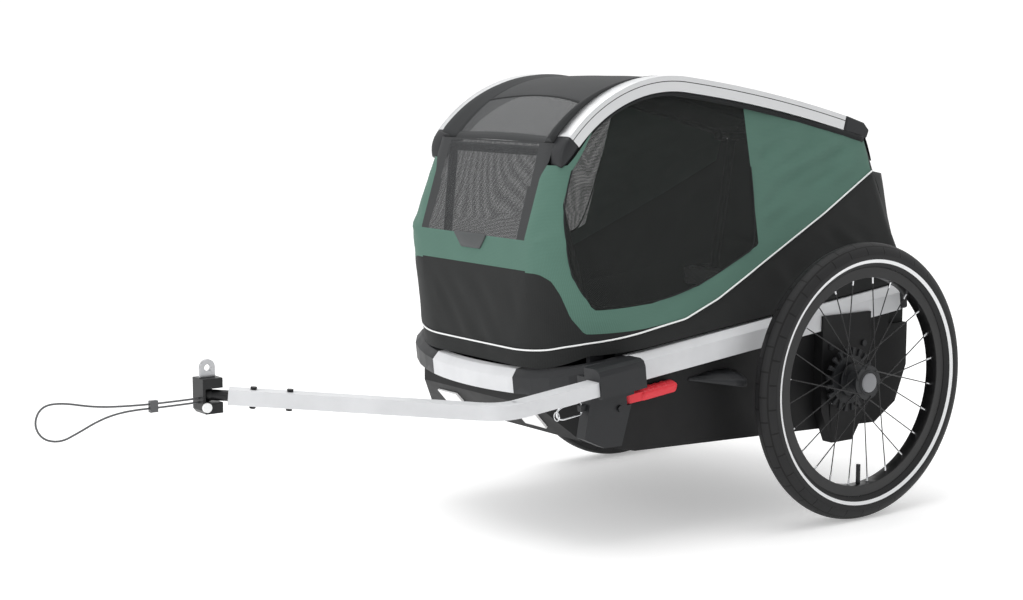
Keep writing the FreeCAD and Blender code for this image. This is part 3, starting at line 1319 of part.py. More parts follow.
def under_rails():
    """Room below the rails and their caps, above the side tubes."""
    low = rail_path(d.rail_height + d.cap_margin + d.cloth_gap, rear=d.tail_length * 0.9)
    start = low[0].Vertexes[0].Point
    end = low[-1].Vertexes[-1].Point
    far = FAR
    tail_x = AXLE_X + 2 * d.rear_foot_x
    nose_x = AXLE_X - d.front_belly_x - 50
    tail_z = REAR_TOP.z - 2 * d.hoop_pin
    floor = 100.0
    corners = [end, Vector(end.x, 0, tail_z), Vector(tail_x, 0, tail_z), Vector(tail_x, 0, floor),
               Vector(nose_x, 0, floor), Vector(nose_x, 0, d.pillar_top),
               Vector(FRONT_TOP.x, 0, d.pillar_top), start]
    lines = [Part.LineSegment(a, b).toShape() for a, b in zip(corners, corners[1:])]
    face = Part.Face(Part.Wire(low + lines))
    face.translate(Y_AXIS * -far)
    return face.extrude(Y_AXIS * (2 * far))


def hem_cutter():
    """Room of the tubes, the corners and all below, with the cloth's gap above them."""
    rear = 2 * d.rear_foot_x
    bar_top = tube_line(-d.bar_reach) - d.bar_drop + d.bar_height / 2 + d.cloth_gap + d.hem_lift
    front_x = -d.tube_front - 2 * d.bar_depth
    lift = HALF_TUBE / math.cos(SLOPE) + d.cloth_gap
    points = [(-d.front_belly_x - 50, bar_top), (-d.bar_reach + d.bar_depth, bar_top),
              (front_x, tube_line(front_x) + lift + d.hem_lift), (rear, tube_line(rear) + lift),
              (rear, 0), (-d.front_belly_x - 50, 0)]
    return side_prism(points)


# Side window, and the piping between the upper and lower cloth: side-view points from the axle and ground.
WINDOW = (
    (-548, 640), (-571, 585), (-579, 523), (-572, 468), (-540, 411), (-427, 416), (-318, 438),
    (-212, 480), (-166, 498), (-154, 633), (-143, 800), (-420, 800),
)
PIPING = (
    (260, 665), (163, 621), (7, 544), (-173, 463), (-279, 413), (-358, 384), (-446, 376),
    (-550, 371), (-569, 398), (-583, 436), (-594, 459), (-605, 470), (-700, 474),
)


def cabin_cloth():
    """Thin shells of the cabin, cut at their seams."""
    shell = cabin_solid(0).cut(cabin_solid(d.cloth)).cut(hem_cutter())
    front_depth = d.front_belly_x - d.front_top_x + 2 * d.front_round_belly
    front_corner_spot = at(-d.front_belly_x - d.cloth, -MESH_HALF, 0)
    front_box = Part.makeBox(front_depth, 2 * MESH_HALF, FAR, front_corner_spot)
    rear_box = Part.makeBox(FAR, 2 * FAR, FAR, at(d.rear_split, -FAR, 0))
    sides = shell.common(under_rails())
    front = shell.common(front_box)
    rear = sides.common(rear_box)
    sides = sides.cut(front_box).cut(rear_box)
    window = side_prism(WINDOW)
    lower = side_prism(PIPING + ((PIPING[-1][0], 0), (PIPING[0][0], 0)))
    rails = side_prism(((-FAR, d.mesh_top), (0, d.mesh_top), (0, FAR), (-FAR, FAR)))
    band = side_prism(((-FAR, d.band_height), (0, d.band_height),
                       (0, d.belly_height), (-FAR, d.belly_height)))
    below = side_prism(((-FAR, 0), (0, 0), (0, d.band_height), (-FAR, d.band_height)))
    windows = sides.common(window)
    framed = sides.cut(window)
    return {
        "windows": windows,
        "side_panels_upper": framed.cut(lower),
        "side_panels_lower": framed.common(lower),
        "front_panel": front.common(below),
        "front_band": front.common(band),
        "front_mesh": front.cut(below).cut(band).cut(rails),
        "rear_panel": rear,
    }


# Sub-parts

for name, piece in wheel_pieces().items():
    twin = mirrored(piece)
    node(piece, f"{name}_left")
    node(twin, f"{name}_right")

tube = side_tube()
node(mirrored(tube), "side_tube_right")
node(tube, "side_tube_left")
node(front_bar(), "front_cross_tube")
node(rear_cross_tube(), "rear_cross_tube")
end_cap = rear_corner()
node(group(end_cap, mirrored(end_cap)), "rear_corners")
node(mirrored(corner_sweep()), "front_corner_right")
node(joined(front_corner(), bail_ear()), "front_corner_left")
node(release_lever(), "release_lever")
node(wire_bail(), "wire_bail")

node(joined(tub(), pedal_ears()), "tub")
node(floor_mat(), "floor_mat")
plate = reflector()
node(group(plate, mirrored(plate)), "front_reflectors")
guard = side_guard()
node(group(guard, mirrored(guard)), "side_guards")
carrier = axle_carrier()
node(mirrored(carrier), "axle_carrier_right")
node(carrier, "axle_carrier_left")
pin = brake_pin()
node(mirrored(pin), "brake_pin_right")
node(pin, "brake_pin_left")
screws = carrier_screws()
node(group(plate_screw(), *screws, *(mirrored(screw) for screw in screws)), "frame_screws")
node(brake_pedal(), "brake_pedal")

node(tow_arm_tube(), "tow_arm_tube")
node(ball_stem(), "ball_stem")
node(arm_bolts(), "arm_bolts")
node(arm_nuts(), "arm_nuts")
node(hitch_cup(), "hitch_cup")
node(axle_plate(), "axle_plate")
node(retaining_pin(), "retaining_pin")
cable = safety_cable()
node(cable, "safety_cable")
node(cable_ferrule(cable), "cable_ferrule")

rail = roof_rail()
node(mirrored(rail), "roof_rail_right")
node(rail, "roof_rail_left")
front_cap = rail_front_cap()
node(group(front_cap, mirrored(front_cap)), "rail_front_caps")
rear_cap = rail_rear_cap()
node(group(rear_cap, mirrored(rear_cap)), "rail_rear_caps")
node(roof_cross_bar(), "roof_cross_bar")
node(roof_canopy(), "roof_canopy")
node(hoop(FRONT_TOP, FRONT_FOOT), "front_hoop")
node(hoop(REAR_TOP, REAR_FOOT), "rear_hoop")
brackets = fold_brackets()
node(group(*brackets, *(mirrored(bracket) for bracket in brackets)), "fold_brackets")

for name, shape in cabin_cloth().items():
    node(made(shape), name)

doc.recompute()
faults = [piece.Label for piece in doc.Objects if {"Invalid", "Error"} & set(piece.State)]
faults += [piece.Label for piece in nodes if piece.Shape.isNull() or not piece.Shape.isValid()]
if faults:
    raise RuntimeError(f"failed: {faults}")
os.makedirs("parts", exist_ok=True)
for piece in nodes:
    piece.Shape.exportStep(os.path.join("parts", f"{piece.Label}.step"))
    print(piece.Label, len(piece.Shape.Solids), "solids", round(piece.Shape.Volume / 1000, 2), "cm3")
print(len(nodes), "sub-parts")
PLACES = {
    "axle": AXLE, "ball": BALL, "lever": FRAME.multVec(LEVER_SPOT), "bail": FRAME.multVec(BAIL_SPOT),
    "pedal": PEDAL_SPOT, "front_foot": FRONT_FOOT, "rear_foot": REAR_FOOT, "front_top": FRONT_TOP,
    "rear_top": REAR_TOP, "frame_up": FRAME.Rotation.multVec(Z_AXIS),
    "frame_rear": FRAME.Rotation.multVec(X_AXIS),
    "plate_hole": BALL + Z_AXIS * d.plate_rise, "brake_pin": pin_spot(), "lock_pin": lock_pin_spot(),
}
for name, place in PLACES.items():
    print("place", name, round(place.x, 4), round(place.y, 4), round(place.z, 4))
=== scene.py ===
"""Dog bike trailer: cloth cabin, wheels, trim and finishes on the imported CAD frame.

Sizes in the classes are millimetres, with x measured rearward from the axle, y to the trailer's right
and z above the ground. Blender's own units are metres.
"""

import json
import logging
import math
from collections.abc import Callable, Iterable, Sequence
from dataclasses import dataclass
from enum import Enum, IntEnum

import bmesh
import bpy
from mathutils import Matrix, Vector, noise


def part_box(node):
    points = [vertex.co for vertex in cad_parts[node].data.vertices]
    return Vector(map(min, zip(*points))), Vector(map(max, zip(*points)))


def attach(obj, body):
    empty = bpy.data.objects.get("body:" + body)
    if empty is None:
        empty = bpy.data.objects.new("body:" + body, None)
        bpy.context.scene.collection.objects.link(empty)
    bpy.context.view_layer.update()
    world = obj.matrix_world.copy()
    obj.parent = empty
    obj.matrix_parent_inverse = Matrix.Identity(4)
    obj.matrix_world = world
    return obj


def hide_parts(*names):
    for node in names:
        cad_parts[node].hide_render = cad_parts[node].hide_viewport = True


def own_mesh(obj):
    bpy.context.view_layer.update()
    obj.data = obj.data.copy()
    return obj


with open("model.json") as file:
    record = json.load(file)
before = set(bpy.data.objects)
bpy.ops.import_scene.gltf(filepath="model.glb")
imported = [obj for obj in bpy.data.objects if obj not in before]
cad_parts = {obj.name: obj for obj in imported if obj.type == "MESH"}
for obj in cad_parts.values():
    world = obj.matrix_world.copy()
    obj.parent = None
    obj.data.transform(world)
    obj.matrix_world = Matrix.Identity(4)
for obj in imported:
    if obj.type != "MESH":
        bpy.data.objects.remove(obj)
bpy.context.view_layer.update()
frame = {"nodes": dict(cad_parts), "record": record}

MM = 0.001
TYRE_LOW, TYRE_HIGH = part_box("tyre_left")
AXLE_X = (TYRE_LOW[0] + TYRE_HIGH[0]) / 2
# Blender's band texture repeats after this length at scale 1.
WAVE_PERIOD = math.pi / 10
# Sockets of the colour mixing node, which Blender gives the same names.
MIX_FACTOR, MIX_FIRST, MIX_SECOND, MIX_RESULT = 0, 6, 7, 2
CLOUD_DETAIL = 3.0
# Cloth points that round to the same fiftieth of a millimetre become one vertex.
WELD_PER_MM = 50
# Least share of a sheet's flat rectangle that its area fills.
LEAST_FILL = 0.32
log = logging.getLogger("trailer")

Pair = tuple[float, float]
Row = tuple[float, ...]
Links = dict[str | int, bpy.types.NodeSocket]
Shell = tuple[list[Vector], list[list[int]]]


def spot(x: float, y: float, z: float) -> Vector:
    """Point in metres from millimetres behind the axle, right of the middle and above the ground."""
    return Vector((AXLE_X + x * MM, y * MM, z * MM))


def linear(colour: str) -> tuple[float, float, float, float]:
    """Convert an sRGB hex colour.

    Args:
        colour: Hash sign and six hex digits.

    Returns:
        Linear red, green, blue and full alpha.
    """
    channels = [int(colour[start:start + 2], 16) / 255 for start in (1, 3, 5)]
    light = [c / 12.92 if c <= 0.04045 else ((c + 0.055) / 1.055) ** 2.4 for c in channels]
    return light[0], light[1], light[2], 1.0


def shaded(colour: str, share: float) -> tuple[float, float, float, float]:
    """Linear form of a hex colour, made darker or lighter by a share."""
    red, green, blue, alpha = linear(colour)
    return red * share, green * share, blue * share, alpha


# Shader nodes

def add_node(
    tree: bpy.types.NodeTree,
    kind: str,
    values: dict | None = None,
    links: Links | None = None,
    **settings: object,
) -> bpy.types.Node:
    """Add one shader node.

    Args:
        tree: Node tree that gets the node.
        kind: Blender's name of the node type.
        values: Socket values by input name or number.
        links: Output sockets by the input that they feed.
        settings: Properties of the node itself.

    Returns:
        The new node.
    """
    node = tree.nodes.new(kind)
    for name, value in settings.items():
        setattr(node, name, value)
    for socket, value in (values or {}).items():
        node.inputs[socket].default_value = value
    for socket, source in (links or {}).items():
        tree.links.new(source, node.inputs[socket])
    return node


def new_material(name: str, values: dict) -> tuple[bpy.types.Material, bpy.types.NodeTree, bpy.types.Node]:
    """Start a material.

    Args:
        name: Common name of the real material.
        values: Uniform values of the shader's own sockets.

    Returns:
        The material, its node tree and its shader.
    """
    material = bpy.data.materials.new(name)
    material.use_nodes = True
    tree = material.node_tree
    tree.nodes.clear()
    shader = add_node(tree, "ShaderNodeBsdfPrincipled", values)
    add_node(tree, "ShaderNodeOutputMaterial", links={"Surface": shader.outputs["BSDF"]})
    return material, tree, shader


def noise_pattern(
    tree: bpy.types.NodeTree, place: bpy.types.NodeSocket, size_mm: float, detail: float
) -> bpy.types.NodeSocket:
    """Add a soft random pattern.

    Args:
        tree: Node tree of the material.
        place: Coordinates in metres.
        size_mm: Size of its patches.
        detail: Number of finer layers in it.

    Returns:
        The pattern's output.
    """
    values = {"Scale": 1 / (size_mm * MM), "Detail": detail}
    return add_node(tree, "ShaderNodeTexNoise", values, {"Vector": place}).outputs["Fac"]


def cloudy_colour(
    tree: bpy.types.NodeTree,
    shader: bpy.types.Node,
    place: bpy.types.NodeSocket,
    colour: str,
    size_mm: float,
    depth: float,
) -> bpy.types.NodeSocket:
    """Give a shader its colour with soft lighter and darker clouds.

    Args:
        tree: Node tree of the material.
        shader: Shader that gets the colour.
        place: Coordinates in metres.
        colour: Mean colour as sRGB hex.
        size_mm: Size of a cloud.
        depth: Share by which the clouds differ from the mean.

    Returns:
        Output with the mixed colour.
    """
    cloud = noise_pattern(tree, place, size_mm, CLOUD_DETAIL)
    shades = {MIX_FIRST: shaded(colour, 1 - depth), MIX_SECOND: shaded(colour, 1 + depth)}
    tones = add_node(tree, "ShaderNodeMix", shades, {MIX_FACTOR: cloud}, data_type="RGBA")
    tree.links.new(tones.outputs[MIX_RESULT], shader.inputs["Base Color"])
    return tones.outputs[MIX_RESULT]


def add_bump(
    tree: bpy.types.NodeTree,
    shader: bpy.types.Node,
    height: bpy.types.NodeSocket,
    strength: float,
    depth_mm: float,
    invert: bool = False,
) -> None:
    """Give a shader a fine relief.

    Args:
        tree: Node tree of the material.
        shader: Shader that gets the relief.
        height: Pattern of its heights.
        strength: Share of the relief that shows.
        depth_mm: Depth of the relief.
        invert: Whether high values of the pattern lie deep.
    """
    values = {"Strength": strength, "Distance": depth_mm * MM}
    bump = add_node(tree, "ShaderNodeBump", values, {"Height": height}, invert=invert)
    tree.links.new(bump.outputs["Normal"], shader.inputs["Normal"])


def vary_roughness(
    tree: bpy.types.NodeTree,
    shader: bpy.types.Node,
    pattern: bpy.types.NodeSocket,
    middle: float,
    spread: Pair,
) -> None:
    """Let a pattern change a shader's roughness.

    Args:
        tree: Node tree of the material.
        shader: Shader that gets the roughness.
        pattern: Pattern that changes it.
        middle: Roughness without the pattern.
        spread: Changes at the pattern's lowest and highest values.
    """
    values = {"To Min": middle + spread[0], "To Max": middle + spread[1]}
    varied = add_node(tree, "ShaderNodeMapRange", values, {"Value": pattern})
    tree.links.new(varied.outputs["Result"], shader.inputs["Roughness"])


def multiplied(
    tree: bpy.types.NodeTree, first: bpy.types.NodeSocket, second: bpy.types.NodeSocket
) -> bpy.types.NodeSocket:
    """Product of two patterns, as a node's output."""
    node = add_node(tree, "ShaderNodeMath", None, {0: first, 1: second}, operation="MULTIPLY")
    return node.outputs["Value"]


@dataclass(frozen=True)
class MouldedPlastic:
    """Injection-moulded plastic from a spark-eroded tool: dull highlights broken by an even grain."""

    name: str
    colour: str
    roughness: float
    grain_mm: float = 1.6
    grain_depth_mm: float = 0.05
    ior: float = 1.49
    specular: float = 0.32
    grain_strength: float = 0.6
    cloud_mm: float = 45.0
    cloud_depth: float = 0.10
    wear_mm: float = 30.0
    wear: Pair = (-0.07, 0.09)

    def make(self) -> bpy.types.Material:
        """Build the material.

        The real grain of about 0.3 mm is drawn coarser, because it wouldn't show. Its pits hide part of
        the reflection, so the specular level lies under the smooth plastic's 0.5.

        Returns:
            The material.
        """
        values = {"Roughness": self.roughness, "IOR": self.ior, "Specular IOR Level": self.specular}
        material, tree, shader = new_material(self.name, values)
        place = add_node(tree, "ShaderNodeTexCoord").outputs["Object"]
        cloudy_colour(tree, shader, place, self.colour, self.cloud_mm, self.cloud_depth)
        grain = noise_pattern(tree, place, self.grain_mm, detail=2.0)
        add_bump(tree, shader, grain, self.grain_strength, self.grain_depth_mm)
        rub = noise_pattern(tree, place, self.wear_mm, detail=4.0)
        vary_roughness(tree, shader, rub, self.roughness, self.wear)
        return material


@dataclass(frozen=True)
class DrawnMetal:
    """Extruded or drawn metal, anodised, plated or bare: fine lines along it soften the highlight."""

    name: str
    colour: str
    roughness: float
    line_mm: float = 1.4
    line_length_mm: float = 160.0
    line_strength: float = 0.25
    line_depth_mm: float = 0.02
    line_spread: Pair = (-0.05, 0.08)
    cloud_mm: float = 120.0
    cloud_depth: float = 0.035

    def make(self) -> bpy.types.Material:
        """Build the material; die lines of about 0.1 mm are drawn wider, because they wouldn't show.

        Returns:
            The material.
        """
        material, tree, shader = new_material(self.name, {"Metallic": 1.0, "Roughness": self.roughness})
        place = add_node(tree, "ShaderNodeTexCoord").outputs["Object"]
        cloudy_colour(tree, shader, place, self.colour, self.cloud_mm, self.cloud_depth)
        across = 1 / (self.line_mm * MM)
        along = 1 / (self.line_length_mm * MM)
        stretch = {"Scale": (along, across, across)}
        stretched = add_node(tree, "ShaderNodeMapping", stretch, {"Vector": place})
        values = {"Scale": 1.0, "Detail": 2.0}
        lines = add_node(tree, "ShaderNodeTexNoise", values, {"Vector": stretched.outputs["Vector"]})
        vary_roughness(tree, shader, lines.outputs["Fac"], self.roughness, self.line_spread)
        add_bump(tree, shader, lines.outputs["Fac"], self.line_strength, self.line_depth_mm)
        return material


@dataclass(frozen=True)
class WovenCloth:
    """Plain-woven polyester with a coated back: matt, with a faint sheen, raised threads and painted shade
    between them.
    """

    name: str
    colour: str
    roughness: float = 0.82
    thread_mm: float = 2.2
    thread_depth_mm: float = 0.22
    sheen: float = 0.06
    specular: float = 0.22
    thread_strength: float = 0.5
    thread_wander: float = 0.4
    # Colour shares in the hollows and on the thread tops: painted shade in the hollows, painted light on
    # the raised threads.
    thread_painted_shades: Pair = (0.86, 1.08)
    cloud_mm: float = 70.0
    cloud_depth: float = 0.07

    def make(self) -> bpy.types.Material:
        """Build the material.

        Threads of about 0.5 mm are drawn coarser, because they wouldn't show. The hollows between them
        hide part of the reflection, so the specular level lies under a smooth coat's 0.5.

        Returns:
            The material.
        """
        values = {"Roughness": self.roughness, "IOR": 1.46, "Specular IOR Level": self.specular,
                  "Sheen Weight": self.sheen, "Sheen Roughness": 0.5}
        material, tree, shader = new_material(self.name, values)
        place = add_node(tree, "ShaderNodeTexCoord").outputs["UV"]
        tones = cloudy_colour(tree, shader, place, self.colour, self.cloud_mm, self.cloud_depth)
        scale = WAVE_PERIOD / (self.thread_mm * MM)
        waves = {"Scale": scale, "Distortion": self.thread_wander, "Detail": 1.0}
        warp, weft = (
            add_node(
                tree, "ShaderNodeTexWave", waves, {"Vector": place},
                wave_type="BANDS", bands_direction=axis)
            for axis in "XY")
        weave = multiplied(tree, warp.outputs["Fac"], weft.outputs["Fac"])
        # Painted shade: the weave darkens the colour in the hollows between threads and lightens it on
        # their tops.
        shades = {"To Min": self.thread_painted_shades[0], "To Max": self.thread_painted_shades[1]}
        depth = add_node(tree, "ShaderNodeMapRange", shades, {"Value": weave}).outputs["Result"]
        woven = add_node(tree, "ShaderNodeVectorMath", None, {0: tones, 1: depth}, operation="MULTIPLY")
        tree.links.new(woven.outputs["Vector"], shader.inputs["Base Color"])
        add_bump(tree, shader, weave, self.thread_strength, self.thread_depth_mm)
        return material


@dataclass(frozen=True)
class MeshCloth:
    """Warp-knitted polyester mesh: dull yarn round an even grid of holes that show what lies behind."""

    name: str
    colour: str
    open_share: float
    hole_pitch_mm: float = 2.0
    hole_fill: float = 0.48
    hole_edges: Pair = (0.7, 1.3)
    grid_turn: float = 45.0
    yarn_strength: float = 0.4
    yarn_depth_mm: float = 0.4
    cloud_mm: float = 90.0
    cloud_depth: float = 0.06

    def make(self) -> bpy.types.Material:
        """Build the material.

        The real pitch of about 1.7 mm is drawn a little wider, so that its holes show. Loose fibres fill a
        part of each hole, which softens its edge.

        Returns:
            The material.
        """
        values = {"Roughness": 0.8, "IOR": 1.46, "Specular IOR Level": 0.2, "Sheen Weight": 0.04}
        material, tree, shader = new_material(self.name, values)
        place = add_node(tree, "ShaderNodeTexCoord").outputs["UV"]
        cloudy_colour(tree, shader, place, self.colour, self.cloud_mm, self.cloud_depth)
        turn = {"Rotation": (0.0, 0.0, math.radians(self.grid_turn))}
        leaning = add_node(tree, "ShaderNodeMapping", turn, {"Vector": place})
        holes = add_node(
            tree, "ShaderNodeTexVoronoi", {"Scale": 1 / (self.hole_pitch_mm * MM), "Randomness": 0.0},
            {"Vector": leaning.outputs["Vector"]}, voronoi_dimensions="2D")
        radius = math.sqrt(self.open_share / math.pi)
        inner, outer = (radius * share for share in self.hole_edges)
        yarn = add_node(
            tree, "ShaderNodeMapRange",
            {"From Min": inner, "From Max": outer, "To Min": self.hole_fill, "To Max": 1.0},
            {"Value": holes.outputs["Distance"]})
        tree.links.new(yarn.outputs["Result"], shader.inputs["Alpha"])
        depth = holes.outputs["Distance"]
        add_bump(tree, shader, depth, self.yarn_strength, self.yarn_depth_mm, invert=True)
        return material


@dataclass(frozen=True)
class TyreRubber:
    """Vulcanised tyre rubber: dull and dusty, with thin block outlines moulded into the tread and painted
    shade in them.
    """

    name: str
    colour: str
    block_mm: float = 45.0
    row_mm: float = 17.0
    groove_mm: float = 1.7
    groove_strength: float = 0.9
    groove_depth_mm: float = 1.0
    # Colour share in the grooves: painted shade, as shade falls in them.
    painted_groove_shade: float = 0.2
    tread_half_mm: float = 33.0
    cloud_mm: float = 25.0
    cloud_depth: float = 0.10

    def make(self) -> bpy.types.Material:
        """Build the material; its coordinates are metres round the tyre and over its section.

        Returns:
            The material.
        """
        values = {"Roughness": 0.62, "IOR": 1.52, "Specular IOR Level": 0.3}
        material, tree, shader = new_material(self.name, values)
        place = add_node(tree, "ShaderNodeTexCoord").outputs["UV"]
        tones = cloudy_colour(tree, shader, place, self.colour, self.cloud_mm, self.cloud_depth)
        blocks = add_node(
            tree, "ShaderNodeTexBrick",
            {"Scale": 1.0, "Mortar Size": self.groove_mm * MM, "Mortar Smooth": 0.2,
             "Brick Width": self.block_mm * MM, "Row Height": self.row_mm * MM},
            {"Vector": place})
        across = add_node(tree, "ShaderNodeSeparateXYZ", None, {"Vector": place})
        off_middle = add_node(tree, "ShaderNodeMath", None, {0: across.outputs["Y"]}, operation="ABSOLUTE")
        tread = add_node(
            tree, "ShaderNodeMath", {1: self.tread_half_mm * MM}, {0: off_middle.outputs["Value"]},
            operation="LESS_THAN")
        groove = multiplied(tree, blocks.outputs["Fac"], tread.outputs["Value"])
        # Painted shade: the grooves are drawn darker than the rubber, where shade falls in them.
        dark = add_node(
            tree, "ShaderNodeMix", {MIX_SECOND: shaded(self.colour, self.painted_groove_shade)},
            {MIX_FACTOR: groove, MIX_FIRST: tones}, data_type="RGBA")
        tree.links.new(dark.outputs[MIX_RESULT], shader.inputs["Base Color"])
        add_bump(tree, shader, groove, self.groove_strength, self.groove_depth_mm, invert=True)
        return material


@dataclass(frozen=True)
class PrismPlastic:
    """Clear acrylic moulded into small prisms over white: a bright glossy lens with a fine grid."""

    name: str
    colour: str
    prism_mm: float = 3.5
    roughness: float = 0.18
    prism_strength: float = 0.35
    prism_depth_mm: float = 0.4
    cloud_mm: float = 20.0
    cloud_depth: float = 0.04

    def make(self) -> bpy.types.Material:
        """Build the material; prisms of about 2 mm are drawn larger, because they wouldn't show.

        Returns:
            The material.
        """
        values = {"Roughness": self.roughness, "IOR": 1.49, "Coat Weight": 0.5, "Coat Roughness": 0.05}
        material, tree, shader = new_material(self.name, values)
        place = add_node(tree, "ShaderNodeTexCoord").outputs["Object"]
        cloudy_colour(tree, shader, place, self.colour, self.cloud_mm, self.cloud_depth)
        grid = {"Scale": 1 / (self.prism_mm * MM), "Randomness": 0.0}
        prisms = add_node(tree, "ShaderNodeTexVoronoi", grid, {"Vector": place}, distance="MANHATTAN")
        add_bump(tree, shader, prisms.outputs["Distance"], self.prism_strength, self.prism_depth_mm)
        return material


@dataclass(frozen=True)
class CoatedRope:
    """Twisted steel rope under a plastic coat: smooth and a little glossy, with slanted strands."""

    name: str
    colour: str
    lay_mm: float = 6.0
    strand_strength: float = 0.4
    strand_depth_mm: float = 0.3
    cloud_mm: float = 30.0
    cloud_depth: float = 0.12

    def make(self) -> bpy.types.Material:
        """Build the material; the strands are drawn as slanted bands over the curve's own coordinates.

        Returns:
            The material.
        """
        material, tree, shader = new_material(self.name, {"Roughness": 0.34, "IOR": 1.5})
        place = add_node(tree, "ShaderNodeTexCoord").outputs["Object"]
        cloudy_colour(tree, shader, place, self.colour, self.cloud_mm, self.cloud_depth)
        strands = add_node(
            tree, "ShaderNodeTexWave", {"Scale": WAVE_PERIOD / (self.lay_mm * MM), "Distortion": 0.0},
            {"Vector": place}, wave_type="BANDS", bands_direction="DIAGONAL")
        add_bump(tree, shader, strands.outputs["Fac"], self.strand_strength, self.strand_depth_mm)
        return material


@dataclass(frozen=True)
class LitAcrylic:
    """Opal acrylic sheet lit from below: an even white that keeps the shadow on it pale."""

    name: str
    colour: str
    glow: float
    cloud_mm: float = 400.0
    cloud_depth: float = 0.01

    def make(self) -> bpy.types.Material:
        """Build the material; its sandblasted face scatters light, with only faint clouds.

        Returns:
            The material.
        """
        values = {"Roughness": 0.85, "IOR": 1.49, "Emission Color": linear("#ffffff"),
                  "Emission Strength": self.glow}
        material, tree, shader = new_material(self.name, values)
        place = add_node(tree, "ShaderNodeTexCoord").outputs["Object"]
        cloudy_colour(tree, shader, place, self.colour, self.cloud_mm, self.cloud_depth)
        return material


Finish = (
    MouldedPlastic | DrawnMetal | WovenCloth | MeshCloth | TyreRubber | PrismPlastic | CoatedRope
    | LitAcrylic)

# Clear-anodised extrusions of the roof rails.
SILVER = DrawnMetal("Anodised aluminium extrusion", "#dadbdc", 0.36)
# Powder coat on the welded tubes and the arm: even and satin, so it mirrors nothing of the wheels.
COATED = MouldedPlastic(
    "Silver powder coat on aluminium", "#cfd0d2", 0.4, grain_mm=1.0, grain_depth_mm=0.02)
# Glass-filled nylon mouldings, a little lighter than the tub.
NYLON = MouldedPlastic("Glass-filled nylon moulding", "#242527", 0.46)
# Polypropylene tub with a coarse grain.
TUB = MouldedPlastic(
    "Polypropylene moulding", "#131314", 0.52, grain_mm=2.2, grain_depth_mm=0.08, specular=0.25)
HITCH = MouldedPlastic("Die-cast hitch in black enamel", "#18191a", 0.38, grain_mm=1.2)
RED = MouldedPlastic("Red acetal moulding", "#d6343e", 0.34, grain_mm=1.2, grain_depth_mm=0.03, ior=1.48)
GREY = MouldedPlastic("Grey nylon moulding", "#7f8083", 0.36)
WHITE = MouldedPlastic("White acetal moulding", "#eceded", 0.3, grain_depth_mm=0.02)
TAG = MouldedPlastic("Grey silicone tag", "#4b4d4e", 0.55)
CHROME = DrawnMetal("Chromed steel wire", "#d4d5d7", 0.14)
PLATE = DrawnMetal("Stamped stainless steel", "#b4b5b7", 0.3)
DARK_STEEL = MouldedPlastic("Powder-coated steel", "#202123", 0.42, grain_mm=1.0)
RIM_BLACK = MouldedPlastic(
    "Black-anodised aluminium", "#101011", 0.34, grain_depth_mm=0.02, ior=1.7, specular=0.25)
SPOKE_BLACK = MouldedPlastic("Black-coated spoke steel", "#19191a", 0.32, grain_depth_mm=0.01, ior=1.6)
LENS = PrismPlastic("Acrylic reflector", "#f4f4f4")
BEADED = PrismPlastic("Reflective tyre band", "#e3e4e5", prism_mm=2.6, roughness=0.35)
RUBBER = TyreRubber("Tyre rubber", "#1e1e1f")
CABLE = CoatedRope("Plastic-coated steel rope", "#505153")
GREEN_CLOTH = WovenCloth("Green coated polyester", "#557569")
BLACK_CLOTH = WovenCloth("Black coated polyester", "#262727")
GREY_CLOTH = WovenCloth("Dark grey polyester", "#3c3d3e")
BINDING = WovenCloth("Black polyester binding", "#262728", thread_mm=1.8)
MAT_CLOTH = WovenCloth("Quilted mat polyester", "#37393a", thread_mm=2.6)
WINDOW_MESH = MeshCloth("Black window mesh", "#252726", 0.5)
FRONT_MESH = MeshCloth("Grey front mesh", "#3f4041", 0.46)
ROOF_MESH = MeshCloth("Grey roof mesh", "#555657", 0.42)

SLOT_FINISHES: dict[str, Finish] = {
    "tyre": RUBBER, "rim": RIM_BLACK, "spoke": SPOKE_BLACK, "hub": NYLON, "steel": CHROME, "button": GREY,
    "silver": SILVER, "black_plastic": NYLON, "tub": TUB, "mat": MAT_CLOTH, "reflector": LENS, "red": RED,
    "chrome": CHROME, "green_cloth": GREEN_CLOTH, "black_cloth": BLACK_CLOTH, "window_mesh": WINDOW_MESH,
    "front_mesh": FRONT_MESH, "roof_mesh": ROOF_MESH, "hitch": HITCH, "plate": PLATE,
    "white_plastic": WHITE, "cable": CABLE, "dark_tube": DARK_STEEL,
}


class Wardrobe:
    """Makes each finish's material once."""

    def __init__(self) -> None:
        """Start with no material made."""
        self.made: dict[str, bpy.types.Material] = {}

    def get(self, finish: Finish) -> bpy.types.Material:
        """Look up a finish's material, which is made at its first use.

        Args:
            finish: The finish.

        Returns:
            Its material.
        """
        if finish.name not in self.made:
            self.made[finish.name] = finish.make()
        return self.made[finish.name]


WARDROBE = Wardrobe()


# Mesh building

class Side(Enum):
    """Side of the trailer: its word and the sign of y."""

    LEFT = ("left", -1)
    RIGHT = ("right", 1)


